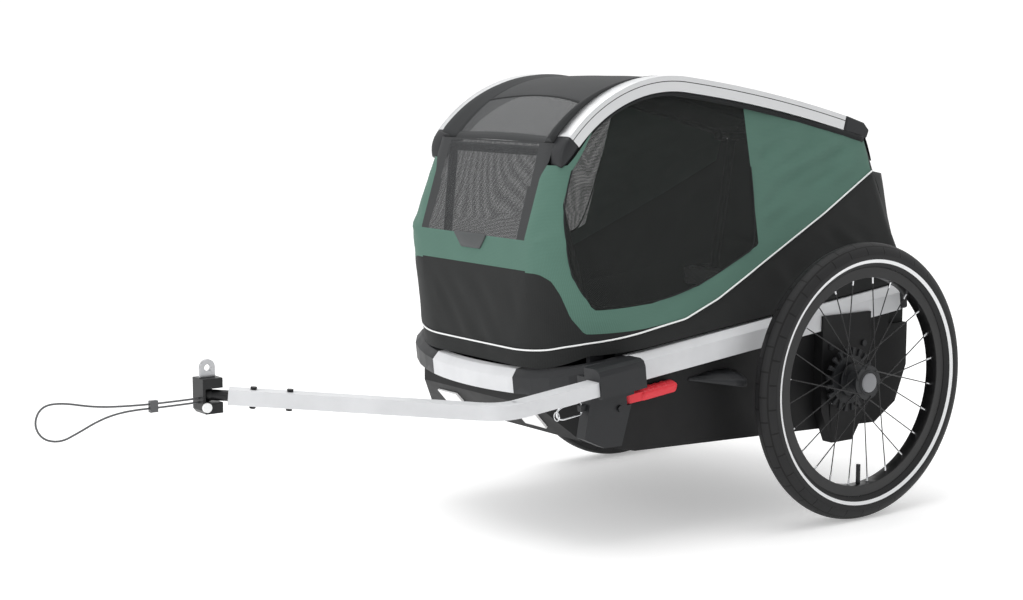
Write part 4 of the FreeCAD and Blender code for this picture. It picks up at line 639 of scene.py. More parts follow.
def mesh_piece(
    name: str,
    points: Sequence[Vector],
    faces: Sequence[Sequence[int]],
    finishes: Sequence[Finish],
    zones: Sequence[int] | None = None,
    coordinates: Sequence[Pair] | None = None,
) -> bpy.types.Object:
    """Make a smooth mesh object.

    Args:
        name: Name of the piece.
        points: Vertices in metres.
        faces: Vertex numbers of each face.
        finishes: Finishes of the piece.
        zones: Number of the finish of each face.
        coordinates: Surface coordinates of each vertex, in metres.

    Returns:
        The new object.
    """
    mesh = bpy.data.meshes.new(name)
    mesh.from_pydata([tuple(point) for point in points], [], [list(face) for face in faces])
    for finish in finishes:
        mesh.materials.append(WARDROBE.get(finish))
    mesh.polygons.foreach_set("use_smooth", [True] * len(mesh.polygons))
    if zones is not None:
        mesh.polygons.foreach_set("material_index", list(zones))
    if coordinates is not None:
        layer = mesh.uv_layers.new(name="Surface")
        for loop in mesh.loops:
            layer.data[loop.index].uv = coordinates[loop.vertex_index]
    mesh.update()
    piece = bpy.data.objects.new(name, mesh)
    bpy.context.scene.collection.objects.link(piece)
    return piece


def settle(piece: bpy.types.Object, body: str, slot: str, *nodes: str) -> bpy.types.Object:
    """Put a finished piece on its body.

    Args:
        piece: The new piece, in place.
        body: CAD body that carries it.
        slot: Material slot of the record; not used.
        nodes: CAD nodes that it stands for.

    Returns:
        The same piece.
    """
    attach(piece, body)
    if nodes:
        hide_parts(*nodes)
    log.info("%s rides %s", piece.name, body)
    return piece


def loft(rings: Sequence[Sequence[Vector]], closed: bool, capped: bool) -> Shell:
    """Join rows of points by quads.

    Args:
        rings: Rows with equal numbers of points.
        closed: Whether each row runs back to its first point.
        capped: Whether the first and last rows are filled.

    Returns:
        All points and the faces.
    """
    size = len(rings[0])
    points = [point for ring in rings for point in ring]
    faces: list[list[int]] = []
    last = size if closed else size - 1
    for row in range(len(rings) - 1):
        this, above = row * size, (row + 1) * size
        for k in range(last):
            following = (k + 1) % size
            faces.append([this + k, this + following, above + following, above + k])
    if capped:
        faces.append(list(range(size))[::-1])
        faces.append([(len(rings) - 1) * size + k for k in range(size)])
    return points, faces


def flipped(faces: Iterable[list[int]]) -> list[list[int]]:
    """Faces turned to look the other way."""
    return [face[::-1] for face in faces]


def join(shells: Iterable[Shell]) -> Shell:
    """Put several shells into one.

    Args:
        shells: Points and faces of each shell.

    Returns:
        All points and the faces.
    """
    points: list[Vector] = []
    faces: list[list[int]] = []
    for more_points, more_faces in shells:
        faces += [[number + len(points) for number in face] for face in more_faces]
        points += more_points
    return points, faces


def rounded_square(turn: float, power: float) -> Pair:
    """Place at a turn on the outline of a square with rounded corners.

    Args:
        turn: Angle in radians.
        power: 1 for a circle; smaller values have tighter corners.

    Returns:
        Distances across and up, between -1 and 1.
    """
    across = math.copysign(abs(math.cos(turn)) ** power, math.cos(turn))
    up = math.copysign(abs(math.sin(turn)) ** power, math.sin(turn))
    return across, up


def ripple(first: float, second: float, form: Row) -> float:
    """Soft random height at a place on a cloth; the form holds both wavelengths and a seed."""
    return noise.noise(Vector((first / form[0], second / form[1], form[2])))


def smooth_tube(
    name: str, points: Iterable[Vector], radius: float, finish: Finish, sides: int = 3
) -> bpy.types.Object:
    """Make a round cord as a mesh.

    Args:
        name: Name of the piece.
        points: Control points in metres.
        radius: Radius in metres.
        finish: Finish of the cord.
        sides: Resolution of the section.

    Returns:
        The mesh object.
    """
    line = spline_object(name + "_line", points, radius, sides)
    mesh = bpy.data.meshes.new_from_object(line.evaluated_get(bpy.context.evaluated_depsgraph_get()))
    bpy.data.objects.remove(line)
    mesh.name = name
    mesh.materials.clear()
    mesh.materials.append(WARDROBE.get(finish))
    mesh.polygons.foreach_set("use_smooth", [True] * len(mesh.polygons))
    piece = bpy.data.objects.new(name, mesh)
    bpy.context.scene.collection.objects.link(piece)
    return piece


def spline_object(name: str, points: Iterable[Vector], radius: float, sides: int) -> bpy.types.Object:
    """Make a round curve on one open spline.

    Args:
        name: Name of the piece.
        points: Control points in metres.
        radius: Radius in metres.
        sides: Resolution of the section.

    Returns:
        The curve object.
    """
    route = list(points)
    curve = bpy.data.curves.new(name, "CURVE")
    curve.dimensions = "3D"
    curve.bevel_depth = radius
    curve.bevel_resolution = sides
    curve.use_fill_caps = True
    spline = curve.splines.new("NURBS")
    spline.points.add(len(route) - 1)
    for point, place in zip(spline.points, route):
        point.co = (*place, 1.0)
    spline.order_u = 3
    spline.use_endpoint_u = True
    spline.resolution_u = 8
    piece = bpy.data.objects.new(name, curve)
    bpy.context.scene.collection.objects.link(piece)
    bpy.context.view_layer.update()
    return piece


def fold_down(piece: bpy.types.Object) -> None:
    """Give a cabin piece its own copy of its mesh."""
    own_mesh(piece)


# Cabin cloth

class Field(IntEnum):
    """Values kept with each point of the cabin's grid; a seam lies where its value is zero."""

    FRONT = 5
    REAR = 6
    WINDOW = 7
    LOWER = 8
    HEM = 9
    RAIL = 10
    BAND = 11
    BELLY = 12
    MESH_TOP = 13


@dataclass(frozen=True)
class Panel:
    """One piece of the cabin's cloth: the node it stands for, its bounds, finish and folds."""

    name: str
    node: str
    keep: tuple[tuple[Field, int], ...]
    slot: str
    finish: Finish
    fold_mm: float
    fold_size: Pair = (90.0, 140.0)
    crease_mm: float = 0.0


SIDES = ((Field.FRONT, -1), (Field.REAR, -1))
FRONT_FACE = ((Field.FRONT, 1), (Field.REAR, -1))
PANELS = (
    Panel(
        "sides_green", "side_panels_upper",
        (*SIDES, (Field.WINDOW, -1), (Field.LOWER, -1), (Field.RAIL, 1)),
        "green_cloth", GREEN_CLOTH, fold_mm=1.2, crease_mm=9.0),
    Panel(
        "sides_black", "side_panels_lower",
        (*SIDES, (Field.WINDOW, -1), (Field.LOWER, 1), (Field.HEM, 1)),
        "black_cloth", BLACK_CLOTH, fold_mm=5.0, fold_size=(75.0, 130.0)),
    Panel(
        "side_windows", "windows", (*SIDES, (Field.WINDOW, 1), (Field.RAIL, 1)),
        "window_mesh", WINDOW_MESH, fold_mm=1.6, fold_size=(160.0, 220.0)),
    Panel(
        "front_lower", "front_panel", (*FRONT_FACE, (Field.BAND, -1), (Field.HEM, 1)),
        "black_cloth", BLACK_CLOTH, fold_mm=4.0),
    Panel(
        "front_green_band", "front_band", (*FRONT_FACE, (Field.BAND, 1), (Field.BELLY, -1)),
        "green_cloth", GREEN_CLOTH, fold_mm=0.8),
    Panel(
        "front_mesh_panel", "front_mesh", (*FRONT_FACE, (Field.BELLY, 1), (Field.MESH_TOP, 1)),
        "front_mesh", FRONT_MESH, fold_mm=1.4),
    Panel(
        "rear_cloth", "rear_panel", ((Field.REAR, 1), (Field.HEM, 1), (Field.RAIL, 1)),
        "black_cloth", BLACK_CLOTH, fold_mm=2.6),
)


@dataclass(frozen=True)
class FoldForm:
    """How the cabin cloth's folds run: soft waves, slanted ones, and creases pulled from the corners."""

    fade_mm: float = 42.0
    fade_power: float = 1.5
    soft_seed: float = 3.7
    slant: float = 0.8
    slant_share: float = 0.6
    slant_size: Pair = (0.5, 1.4)
    slant_seed: float = 9.1
    crease_slope: float = 0.36
    crease_form: Row = (19.0, 130.0, 5.3)


FOLDS = FoldForm()


def signed_distance(x: float, z: float, outline: Sequence[Pair]) -> float:
    """Measure how far a point lies inside an outline.

    Args:
        x: Point's first coordinate.
        z: Point's second coordinate.
        outline: Corners in order.

    Returns:
        Distance to the nearest edge, negative outside.
    """
    nearest = math.inf
    inside = False
    for (ax, az), (bx, bz) in zip(outline, (*outline[1:], outline[0])):
        run = (bx - ax, bz - az)
        share = ((x - ax) * run[0] + (z - az) * run[1]) / (run[0] ** 2 + run[1] ** 2)
        share = min(max(share, 0.0), 1.0)
        nearest = min(nearest, math.hypot(x - ax - share * run[0], z - az - share * run[1]))
        if (az > z) != (bz > z) and x < ax + (z - az) / (bz - az) * run[0]:
            inside = not inside
    return nearest if inside else -nearest


def between(x: float, corners: Sequence[Pair]) -> float:
    """Read a value off a line through corners.

    Args:
        x: Where to read it.
        corners: Places and values in order; the line is level beyond both ends.

    Returns:
        The value at x.
    """
    if x <= corners[0][0]:
        return corners[0][1]
    for (ax, az), (bx, bz) in zip(corners, corners[1:]):
        if x <= bx:
            return az + (bz - az) * (x - ax) / (bx - ax)
    return corners[-1][1]


def clip(polygon: list[Row], field: int, sign: int) -> list[Row]:
    """Cut a polygon along a seam.

    Args:
        polygon: Rows of values, each with the point's place first.
        field: Number of the value that is zero on the seam.
        sign: Side that stays: 1 where the value is positive, -1 where it is negative.

    Returns:
        The part that stays, or an empty list.
    """
    kept: list[Row] = []
    for a, b in zip(polygon, polygon[1:] + polygon[:1]):
        first = a[field] * sign
        second = b[field] * sign
        if first >= 0:
            kept.append(a)
        if (first >= 0) != (second >= 0):
            share = first / (first - second)
            kept.append(tuple(p + (q - p) * share for p, q in zip(a, b)))
    return kept


@dataclass
class RailLine:
    """Side view of the roof rails: a tight front bend, then one long bend down to the rear."""

    start: Pair = (-549.0, 695.0)
    front_angle: float = 48.0
    crown_angle: float = -7.0
    rear_angle: float = -14.6
    front_radius: float = 300.0
    rear_radius: float = 3000.0
    spread: float = 356.0
    width: float = 34.0
    height: float = 27.0
    tail: float = 59.4

    def front_length(self) -> float:
        """Length of the front bend."""
        return self.front_radius * math.radians(self.front_angle - self.crown_angle)

    def length(self) -> float:
        """Length from the front end to the rear caps."""
        return self.front_length() + self.rear_radius * math.radians(self.crown_angle - self.rear_angle)

    def point(self, run: float, depth: float) -> Pair:
        """Place on the rail.

        Args:
            run: Distance from the front end along the rail's top.
            depth: Distance below the top.

        Returns:
            x and z of the place.
        """
        heading = math.radians(self.front_angle)
        middle = (self.start[0] + self.front_radius * math.sin(heading),
                  self.start[1] - self.front_radius * math.cos(heading))
        crown = math.radians(self.crown_angle)
        radius = self.front_radius
        turn = heading - max(run, 0.0) / radius
        if run > self.front_length():
            step = self.rear_radius - self.front_radius
            middle = (middle[0] + step * math.sin(crown), middle[1] - step * math.cos(crown))
            radius = self.rear_radius
            turn = crown - (min(run, self.length()) - self.front_length()) / radius
        beyond = min(run, 0.0) + max(run - self.length(), 0.0)
        x = middle[0] - (radius - depth) * math.sin(turn) + beyond * math.cos(turn)
        z = middle[1] + (radius - depth) * math.cos(turn) + beyond * math.sin(turn)
        return x, z


RAIL = RailLine()


@dataclass
class Cabin:
    """Cloth cabin on the hoops: one form through four level rings, cut into panels at its seams."""

    heights: Row = (298.4, 452.0, 524.0, 800.0)
    fronts: Row = (-603.0, -609.8, -613.0, -525.2)
    rears: Row = (206.0, 208.0, 188.0, 140.0)
    halves: Row = (285.0, 258.3, 238.8, 163.9)
    front_rounds: Row = (185.0, 113.5, 80.0, 24.0)
    rear_round: float = 30.0
    step: float = 7.0
    counts: tuple[int, ...] = (24, 26, 104, 7, 32)
    foremost: float = -700.0
    mesh_half: float = 154.0
    border: float = 27.0
    top_border: float = 8.0
    flare: tuple[Pair, ...] = ((628.0, 0.0), (652.0, 11.0))
    rear_split: float = 150.0
    band_low: float = 473.0
    belly: float = 524.0
    mesh_top: float = 684.0
    pillar: Pair = (-552.6, 648.0)
    tail_top: float = 659.5
    top_steps: int = 90
    cloth_depth: float = 29.5
    fold_height: float = 292.0
    fold_keep: float = 0.06
    hem: tuple[Pair, ...] = ((-700.0, 307.7), (-589.0, 307.7), (-543.0, 334.4), (412.0, 434.6))
    window: tuple[Pair, ...] = (
        (-548, 640), (-571, 585), (-579, 523), (-572, 468), (-540, 411), (-427, 416), (-318, 438),
        (-212, 480), (-166, 498), (-154, 633), (-143, 800), (-420, 800))
    seam: tuple[Pair, ...] = (
        (260, 665), (163, 621), (7, 544), (-173, 463), (-279, 413), (-358, 384), (-446, 376), (-550, 371),
        (-569, 398), (-583, 436), (-594, 459), (-605, 470), (-700, 474))
    lining_ends: Pair = (-500.0, 200.0)
    lining_half: float = 256.0
    lining_height: float = 104.0
    lining_lap: float = 9.0
    lining_columns: int = 50
    pocket_heights: Pair = (424.0, 608.0)
    pocket_lid: float = 5.0
    pocket_lid_run: float = 30.0
    pocket_half: float = 214.0
    pocket_edge: float = 26.0
    pocket_depth: tuple[Pair, ...] = ((430.0, 36.0), (470.0, 38.0), (608.0, 27.0))
    pocket_proud: float = 1.0
    pocket_fold: float = 2.5
    pocket_ripple: Row = (70.0, 120.0, 5.0)
    pocket_grid: tuple[int, int] = (44, 26)
    piping_side: tuple[Pair, ...] = (
        (150.0, 615.0), (7.0, 544.0), (-173.0, 463.0), (-279.0, 413.0), (-358.0, 385.0), (-414.0, 377.0),
        (-480.0, 367.0), (-546.0, 356.0), (-572.0, 349.0))
    piping_corner: tuple[Pair, ...] = ((0.0, 336.5), (13.0, 338.0), (26.0, 341.5), (37.5, 349.0))
    piping_turns: Row = (34.0, 28.0, 22.0, 16.0, 10.0, 5.0, 0.0)
    piping_steps: int = 64
    piping_proud: float = 1.9
    piping_radius: float = 1.5
    binding_proud: float = 0.6
    binding_radius: float = 1.3
    tag_outline: tuple[Pair, ...] = (
        (-26.0, 500.0), (26.0, 500.0), (30.0, 503.0), (47.0, 524.0), (45.0, 526.0), (-45.0, 526.0),
        (-47.0, 524.0), (-30.0, 503.0))
    tag_middle: float = 513.0
    tag_steps: tuple[Pair, ...] = ((0.5, 0.0), (2.6, 0.0), (3.5, 1.5))

    def ring(self, z: float) -> tuple[float, float, float, float]:
        """Read the level ring at a height.

        Args:
            z: Height.

        Returns:
            Its front, its rear, its half width and the radius of its front corners.
        """
        rows = (self.fronts, self.rears, self.halves, self.front_rounds)
        front, rear, half, corner = (between(z, tuple(zip(self.heights, row))) for row in rows)
        return front, rear, half, corner

    def around(self, z: float, segment: int, share: float) -> Pair:
        """Place on the left half of a ring.

        Args:
            z: Height of the ring.
            segment: 0 front, 1 front corner, 2 side, 3 rear corner, 4 rear.
            share: Share of the segment passed.

        Returns:
            x and y of the place.
        """
        front, rear, half, corner = self.ring(z)
        turn = math.radians(90 * share)
        back = self.rear_round
        places: tuple[Callable[[], Pair], ...] = (
            lambda: (front, -share * (half - corner)),
            lambda: (front + corner * (1 - math.cos(turn)), corner - half - corner * math.sin(turn)),
            lambda: (front + corner + share * (rear - back - front - corner), -half),
            lambda: (rear - back + back * math.sin(turn), back - half - back * math.cos(turn)),
            lambda: (rear, (share - 1) * (half - back)),
        )
        return places[segment]()

    def side_point(self, x: float, z: float, proud: float = 0.0) -> Vector:
        """Place on the left side of the form.

        Args:
            x: Distance behind the axle.
            z: Height.
            proud: Distance outside the cloth.

        Returns:
            The point in metres.
        """
        front, rear, half, corner = self.ring(z)
        reach = max(front + corner - x, 0.0)
        if reach > 0:
            middle = Vector((front + corner, corner - half))
            out = Vector((-reach, -math.sqrt(max(corner ** 2 - reach ** 2, 0.0)))).normalized()
            flat = middle + out * (corner + proud)
            return spot(flat.x, flat.y, z)
        return spot(x, -half - proud, z)

    def rear_face(self, z: float, y: float) -> float:
        """Find the form's rear, with its rounded corners.

        Args:
            z: Height.
            y: Distance from the middle plane.

        Returns:
            Distance behind the axle.
        """
        rear, half = self.ring(z)[1:3]
        over = max(abs(y) - half + self.rear_round, 0.0)
        return rear - self.rear_round + math.sqrt(max(self.rear_round ** 2 - over ** 2, 0.0))

    def rail_top(self, x: float) -> float:
        """Height of the side cloth's upper edge under the rail."""
        return between(x, self.top_line)

    def build_top_line(self) -> None:
        """Work out the side cloth's upper edge once."""
        runs = [RAIL.length() * k / self.top_steps for k in range(self.top_steps + 1)]
        runs.append(RAIL.length() + RAIL.tail)
        line = [RAIL.point(run, self.cloth_depth) for run in runs]
        tail = (line[-1][0] + 1.0, self.tail_top)
        self.top_line = [(self.foremost, self.pillar[1]), self.pillar, *line, tail]

    def row(self, z: float, segment: int, share: float, along: float) -> Row:
        """Work out one point of the grid.

        Args:
            z: Height.
            segment: Segment of the ring, as in around.
            share: Share of the segment passed.
            along: Length round the form from the front's middle.

        Returns:
            Its place, its surface coordinates and its values in the order of Field.
        """
        x, y = self.around(z, segment, share)
        lower = (*self.seam, (self.seam[-1][0], 0.0), (self.seam[0][0], 0.0))
        flare = between(z, self.flare)
        front = self.mesh_half + flare + y if x < 0 else -self.mesh_half
        return (
            x, y, z, along, z, front, x - self.rear_split, signed_distance(x, z, self.window),
            signed_distance(x, z, lower), z - between(x, self.hem), self.rail_top(x) - z,
            z - self.band_low, z - self.belly, self.mesh_top - z)

    def grid(self) -> list[list[Row]]:
        """Work out the left half of the form.

        Returns:
            Rows of points from the front's middle to the rear's, the lowest row first.
        """
        self.build_top_line()
        stations: list[tuple[int, float, float]] = []
        along = 0.0
        before = self.around(self.belly, 0, 0.0)
        for segment, count in enumerate(self.counts):
            for k in range(1 if segment else 0, count + 1):
                here = self.around(self.belly, segment, k / count)
                along += math.dist(before, here)
                before = here
                stations.append((segment, k / count, along))
        low, high = self.heights[0], self.heights[-1]
        rows = round((high - low) / self.step)
        levels = [low + (high - low) * k / rows for k in range(rows + 1)]
        return [[self.row(z, segment, share, run) for segment, share, run in stations] for z in levels]

    def cut(self, panel: Panel, grid: list[list[Row]]) -> bpy.types.Object:
        """Cut one panel out of the grid, on both sides of the trailer.

        Args:
            panel: The panel's bounds and finish.
            grid: Left half of the form.

        Returns:
            The panel's mesh object.
        """
        numbers: dict[tuple[int, ...], int] = {}
        rows: list[Row] = []
        faces: list[list[int]] = []
        for low, high in zip(grid, grid[1:]):
            for quad in zip(low, low[1:], high[1:], high):
                polygon = list(quad)
                for field, sign in panel.keep:
                    polygon = clip(polygon, field, sign)
                    if len(polygon) < 3:
                        break
                else:
                    for side in (1, -1):
                        self.add_face(polygon, side, numbers, rows, faces)
        points = self.folded(panel, rows, faces)
        coordinates = [(row[3] * MM, row[4] * MM) for row in rows]
        finishes, zones = self.zoned(panel, rows, faces)
        return mesh_piece(panel.name, points, faces, finishes, zones, coordinates)

    @staticmethod
    def add_face(
        polygon: list[Row],
        side: int,
        numbers: dict[tuple[int, ...], int],
        rows: list[Row],
        faces: list[list[int]],
    ) -> None:
        """Add a polygon, or its mirror image, to a mesh in the making.

        Args:
            polygon: Rows of values on the left half.
            side: 1 for the left half, -1 for its mirror image.
            numbers: Vertex number by rounded place.
            rows: Values of each vertex so far.
            faces: Faces so far.
        """
        face: list[int] = []
        for row in polygon[::side]:
            placed = (row[0], row[1] * side, row[2], row[3] * side, *row[4:])
            key = tuple(round(value * WELD_PER_MM) for value in placed[:3])
            number = numbers.setdefault(key, len(rows))
            if number == len(rows):
                rows.append(placed)
            if number not in face:
                face.append(number)
        if len(face) > 2:
            faces.append(face)

    @staticmethod
    def folded(panel: Panel, rows: list[Row], faces: list[list[int]]) -> list[Vector]:
        """Give a panel its soft folds, which die out at its seams.

        Args:
            panel: The panel, with its bounds and its folds' depth and size.
            rows: Values of each vertex.
            faces: Vertex numbers of each face.

        Returns:
            The points in metres.
        """
        normals = [Vector() for row in rows]
        for face in faces:
            a, b, c = (Vector(rows[number][:3]) for number in face[:3])
            flat = (b - a).cross(c - a)
            for number in face:
                normals[number] += flat
        wide, tall = panel.fold_size
        soft_form = (wide, tall, FOLDS.soft_seed)
        slant_form = (wide * FOLDS.slant_size[0], tall * FOLDS.slant_size[1], FOLDS.slant_seed)
        points: list[Vector] = []
        for row, normal in zip(rows, normals):
            x, y, z, along = row[:4]
            edge = min(abs(row[field]) for field, sign in panel.keep)
            fade = min(edge / FOLDS.fade_mm, 1.0) ** FOLDS.fade_power
            soft = ripple(along, z, soft_form)
            slanted = ripple(along + FOLDS.slant * z, z, slant_form)
            crease = ripple(z - FOLDS.crease_slope * abs(along), abs(along), FOLDS.crease_form)
            waves = panel.fold_mm * (soft + FOLDS.slant_share * slanted)
            place = Vector((x, y, z)) + normal.normalized() * (fade * (waves + panel.crease_mm * crease))
            points.append(spot(place.x, place.y, place.z))
        return points

    def zoned(
        self, panel: Panel, rows: list[Row], faces: list[list[int]]
    ) -> tuple[list[Finish], list[int] | None]:
        """Share out a panel's finishes; the front mesh has a bound border at its sides and top.

        Args:
            panel: The panel.
            rows: Values of each vertex.
            faces: Vertex numbers of each face.

        Returns:
            The finishes, and the number of each face's finish or None.
        """
        if panel.finish is not FRONT_MESH:
            return [panel.finish], None
        edge = self.mesh_half - self.border
        top = self.mesh_top - self.top_border
        zones: list[int] = []
        for face in faces:
            beside = min(abs(rows[number][1]) for number in face) > edge
            above = min(rows[number][2] for number in face) > top
            zones.append(int(beside or above))
        return [panel.finish, GREY_CLOTH], zones

    def dress(self) -> None:
        grid = self.grid()
        for panel in PANELS:
            piece = self.cut(panel, grid)
            settle(piece, "chassis", panel.slot, panel.node)
            declare_sheet(piece)
            fold_down(piece)
        self.piping()
        self.window_binding()
        self.lining()
        self.rear_pocket()
        self.front_tag()

    def cord(self, name: str, points: Sequence[Vector], radius: float, finish: Finish, slot: str) -> None:
        """Sew a cord to the cloth.

        Args:
            name: Name of the piece.
            points: Points of its run, in metres.
            radius: Radius in millimetres.
            finish: Finish of the cord.
            slot: Material slot.
        """
        piece = smooth_tube(name, points, radius * MM, finish)
        settle(piece, "chassis", slot)
        fold_down(piece)

    def piping(self) -> None:
        """White cord sewn into the seam along both sides and low across the front."""
        start, end = self.piping_side[0][0], self.piping_side[-1][0]
        line = self.piping_side[::-1]
        places = [start + (end - start) * k / self.piping_steps for k in range(self.piping_steps + 1)]
        left = [self.side_point(x, between(x, line), self.piping_proud) for x in places]
        for degrees in self.piping_turns:
            z = between(degrees, self.piping_corner)
            front, rear, half, corner = self.ring(z)
            turn = math.radians(degrees)
            reach = corner + self.piping_proud
            x = front + corner - reach * math.cos(turn)
            left.append(spot(x, corner - half - reach * math.sin(turn), z))
        mirrored = [Vector((point.x, -point.y, point.z)) for point in left[::-1]]
        self.cord("white_piping", left + mirrored, self.piping_radius, WHITE, "white_plastic")

    def window_binding(self) -> None:
        """Dark cord in the windows' seam, from the front rail cap round to the rear pillar."""
        shown = [(x, z) for x, z in self.window if z < self.rail_top(x)]
        left = [self.side_point(x, z, self.binding_proud) for x, z in shown]
        for side, word in ((1, "left"), (-1, "right")):
            points = [Vector((point.x, point.y * side, point.z)) for point in left]
            self.cord(f"window_binding_{word}", points, self.binding_radius, BINDING, "black_cloth")

    def lining(self) -> None:
        """Black cloth strip inside the side and rear tubes, from their undersides to above the hem."""
        start, tail = self.lining_ends
        half = self.lining_half
        runs = {"left": ((start, -half), (tail, -half)), "rear": ((tail, -half), (tail, half)),
                "right": ((tail, half), (start, half))}
        for word, ((ax, ay), (bx, by)) in runs.items():
            rings: list[list[Vector]] = [[], []]
            coordinates: list[list[Pair]] = [[], []]
            for column in range(self.lining_columns + 1):
                share = column / self.lining_columns
                x, y = ax + (bx - ax) * share, ay + (by - ay) * share
                hem = between(x, self.hem)
                for row, z in enumerate((hem - self.lining_height, hem + self.lining_lap)):
                    rings[row].append(spot(x, y, z))
                    coordinates[row].append((math.hypot(x - ax, y - ay) * MM, z * MM))
            points, faces = loft(rings, False, False)
            places = coordinates[0] + coordinates[1]
            piece = mesh_piece(f"tub_lining_{word}", points, faces, [BLACK_CLOTH], None, places)
            settle(piece, "chassis", "black_cloth")
            declare_sheet(piece)
            fold_down(piece)

    def rear_pocket(self) -> None:
        """Deep cloth pocket behind the rear panel, with a lid sloping back to the panel."""
        low, high = self.pocket_heights
        half = self.pocket_half
        columns, levels = self.pocket_grid
        rings: list[list[Vector]] = []
        coordinates: list[Pair] = []
        for row in range(levels + 2):
            lid = row > levels
            z = low + (high - low) * min(row / levels, 1.0) + (self.pocket_lid if lid else 0.0)
            along = high + self.pocket_lid + self.pocket_lid_run if lid else z
            deep = 0.0 if lid else between(z, self.pocket_depth)
            ring: list[Vector] = []
            for column in range(columns + 1):
                y = half * (2 * column / columns - 1)
                edge = max(min(min(half - abs(y), z - low) / self.pocket_edge, 1.0), 0.0)
                bulge = deep * math.sin(edge * math.pi / 2)
                fold = ripple(y, z, self.pocket_ripple) * self.pocket_fold * edge
                ring.append(spot(self.rear_face(z, y) + self.pocket_proud + bulge + fold, y, z))
                coordinates.append((y * MM, along * MM))
            rings.append(ring)
        points, faces = loft(rings, False, False)
        piece = mesh_piece("rear_pocket", points, faces, [BLACK_CLOTH], None, coordinates)
        settle(piece, "chassis", "black_cloth")
        declare_sheet(piece)
        fold_down(piece)

    def front_tag(self) -> None:
        """Bare grey tag with slanted ends in the middle of the front band's upper edge."""
        rings: list[list[Vector]] = []
        for out, inset in self.tag_steps:
            ring: list[Vector] = []
            for y, z in self.tag_outline:
                flat_y = y - math.copysign(inset, y)
                flat_z = z + inset if z < self.tag_middle else z - inset
                ring.append(spot(self.ring(z)[0] - out, flat_y, flat_z))
            rings.append(ring)
        points, faces = loft(rings, True, True)
        tag = mesh_piece("front_tag", points, flipped(faces), [TAG])
        settle(tag, "chassis", "black_plastic")
        fold_down(tag)


CABIN = Cabin()


def declare_sheet(piece: bpy.types.Object) -> None:
    """Work out the flat size and area of a piece of cloth from its own mesh, without keeping them.

    Args:
        piece: Cloth object with surface coordinates in metres.
    """
    mesh = piece.data
    area = sum(polygon.area for polygon in mesh.polygons)
    places = [loop.uv for loop in mesh.uv_layers[0].data]
    length = max(place[0] for place in places) - min(place[0] for place in places)
    width = max(place[1] for place in places) - min(place[1] for place in places)
    width = min(max(width, area / length), area / (LEAST_FILL * length))


# Roof

